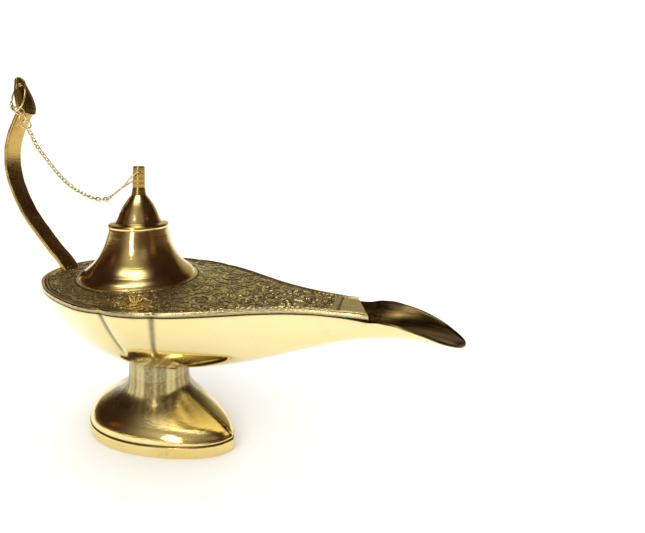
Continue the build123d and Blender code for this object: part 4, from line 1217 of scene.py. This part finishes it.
def glow(total, toward, tight, level, tint):
    """Soft patch of light in one direction of the room."""
    t = Vector(toward).normalized()
    d = vmath("DOT_PRODUCT", tc.outputs["Generated"], tuple(t)).outputs["Value"]
    g = wmath("EXPONENT", wmath("MULTIPLY", wmath("SUBTRACT", d, 1.0), tight))
    sc = vmath("SCALE", tint)
    nt.links.new(wmath("MULTIPLY", g, level), sc.inputs[3])
    return vmath("ADD", total, sc.outputs[0]).outputs[0]


def direction(side, up):
    """Unit direction: degrees to the right as seen from the camera's side, degrees up."""
    a, e = math.radians(side), math.radians(up)
    front = np.array((0.370, -0.929, 0.0))
    right = np.array((0.929, 0.370, 0.0))
    h = front * math.cos(a) + right * math.sin(a)
    return tuple(float(c) for c in (h * math.cos(e) + np.array((0, 0, 1.0)) * math.sin(e)))


room = mc.outputs[2]
WARM = (1.0, 0.93, 0.76)
room = glow(room, direction(-4, 76), 60.0, 4.6, (1.0, 0.97, 0.88))
room = glow(room, direction(-44, 66), 90.0, 3.2, (1.0, 0.97, 0.88))
room = glow(room, direction(-8, 52), 12.0, 0.34, WARM)
room = glow(room, direction(-16, 26), 16.0, 0.50, WARM)
room = glow(room, direction(30, 34), 60.0, 0.22, WARM)
room = glow(room, direction(62, 24), 140.0, 0.26, (1.0, 0.62, 0.26))
room = glow(room, direction(-70, 30), 160.0, 0.17, (1.0, 0.34, 0.16))
nt.links.new(room, bg.inputs[0])
bg.inputs[1].default_value = 1.0
nt.links.new(lp.outputs["Is Glossy Ray"], mx.inputs[0])
nt.links.new(plain_bg.outputs[0], mx.inputs[1])
nt.links.new(bg.outputs[0], mx.inputs[2])
nt.links.new(mx.outputs[0], wout.inputs[0])


def soft_box(name, where, size, watts, aim=(0, 0, 0.06), size_y=None, colour=(1, 0.98, 0.94)):
    l = bpy.data.lights.new(name, "AREA")
    l.shape = "RECTANGLE"
    l.size = size
    l.size_y = size_y or size
    l.energy = watts
    l.color = colour
    ob = bpy.data.objects.new(name, l)
    ob.location = where
    ob.rotation_euler = (Vector(aim) - Vector(where)).to_track_quat("-Z", "Y").to_euler()
    scene.collection.objects.link(ob)
    return ob


# camera side is towards (0.37, -0.93); its left is (-0.93, -0.37)
for box in (soft_box("top_light", (0.0, 0.05, 1.15), 1.3, 3.0), soft_box("key_light", (-0.42, -0.72, 0.78), 0.42, 2.0)):
    box.visible_glossy = False
soft_box("strip_light", (0.16, -0.95, 0.40), 0.07, 1.2, size_y=0.5)

cam = bpy.data.cameras.new("camera")
cam.sensor_width = 36.0
cam.lens = 22.26
cam.shift_x = 0.1264
cam.shift_y = -0.1657
cam.clip_start = 0.01
cam_ob = bpy.data.objects.new("camera", cam)
cam_ob.location = (0.0809, -0.1430, 0.1093)
look = Vector((-0.370, 0.929, 0.0)).normalized()
cam_ob.rotation_euler = look.to_track_quat("-Z", "Y").to_euler()
scene.collection.objects.link(cam_ob)
scene.camera = cam_ob
scene.view_settings.view_transform = "Standard"
scene.view_settings.look = "None"
scene.view_settings.exposure = 0.0

final_bounds = plain(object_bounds())
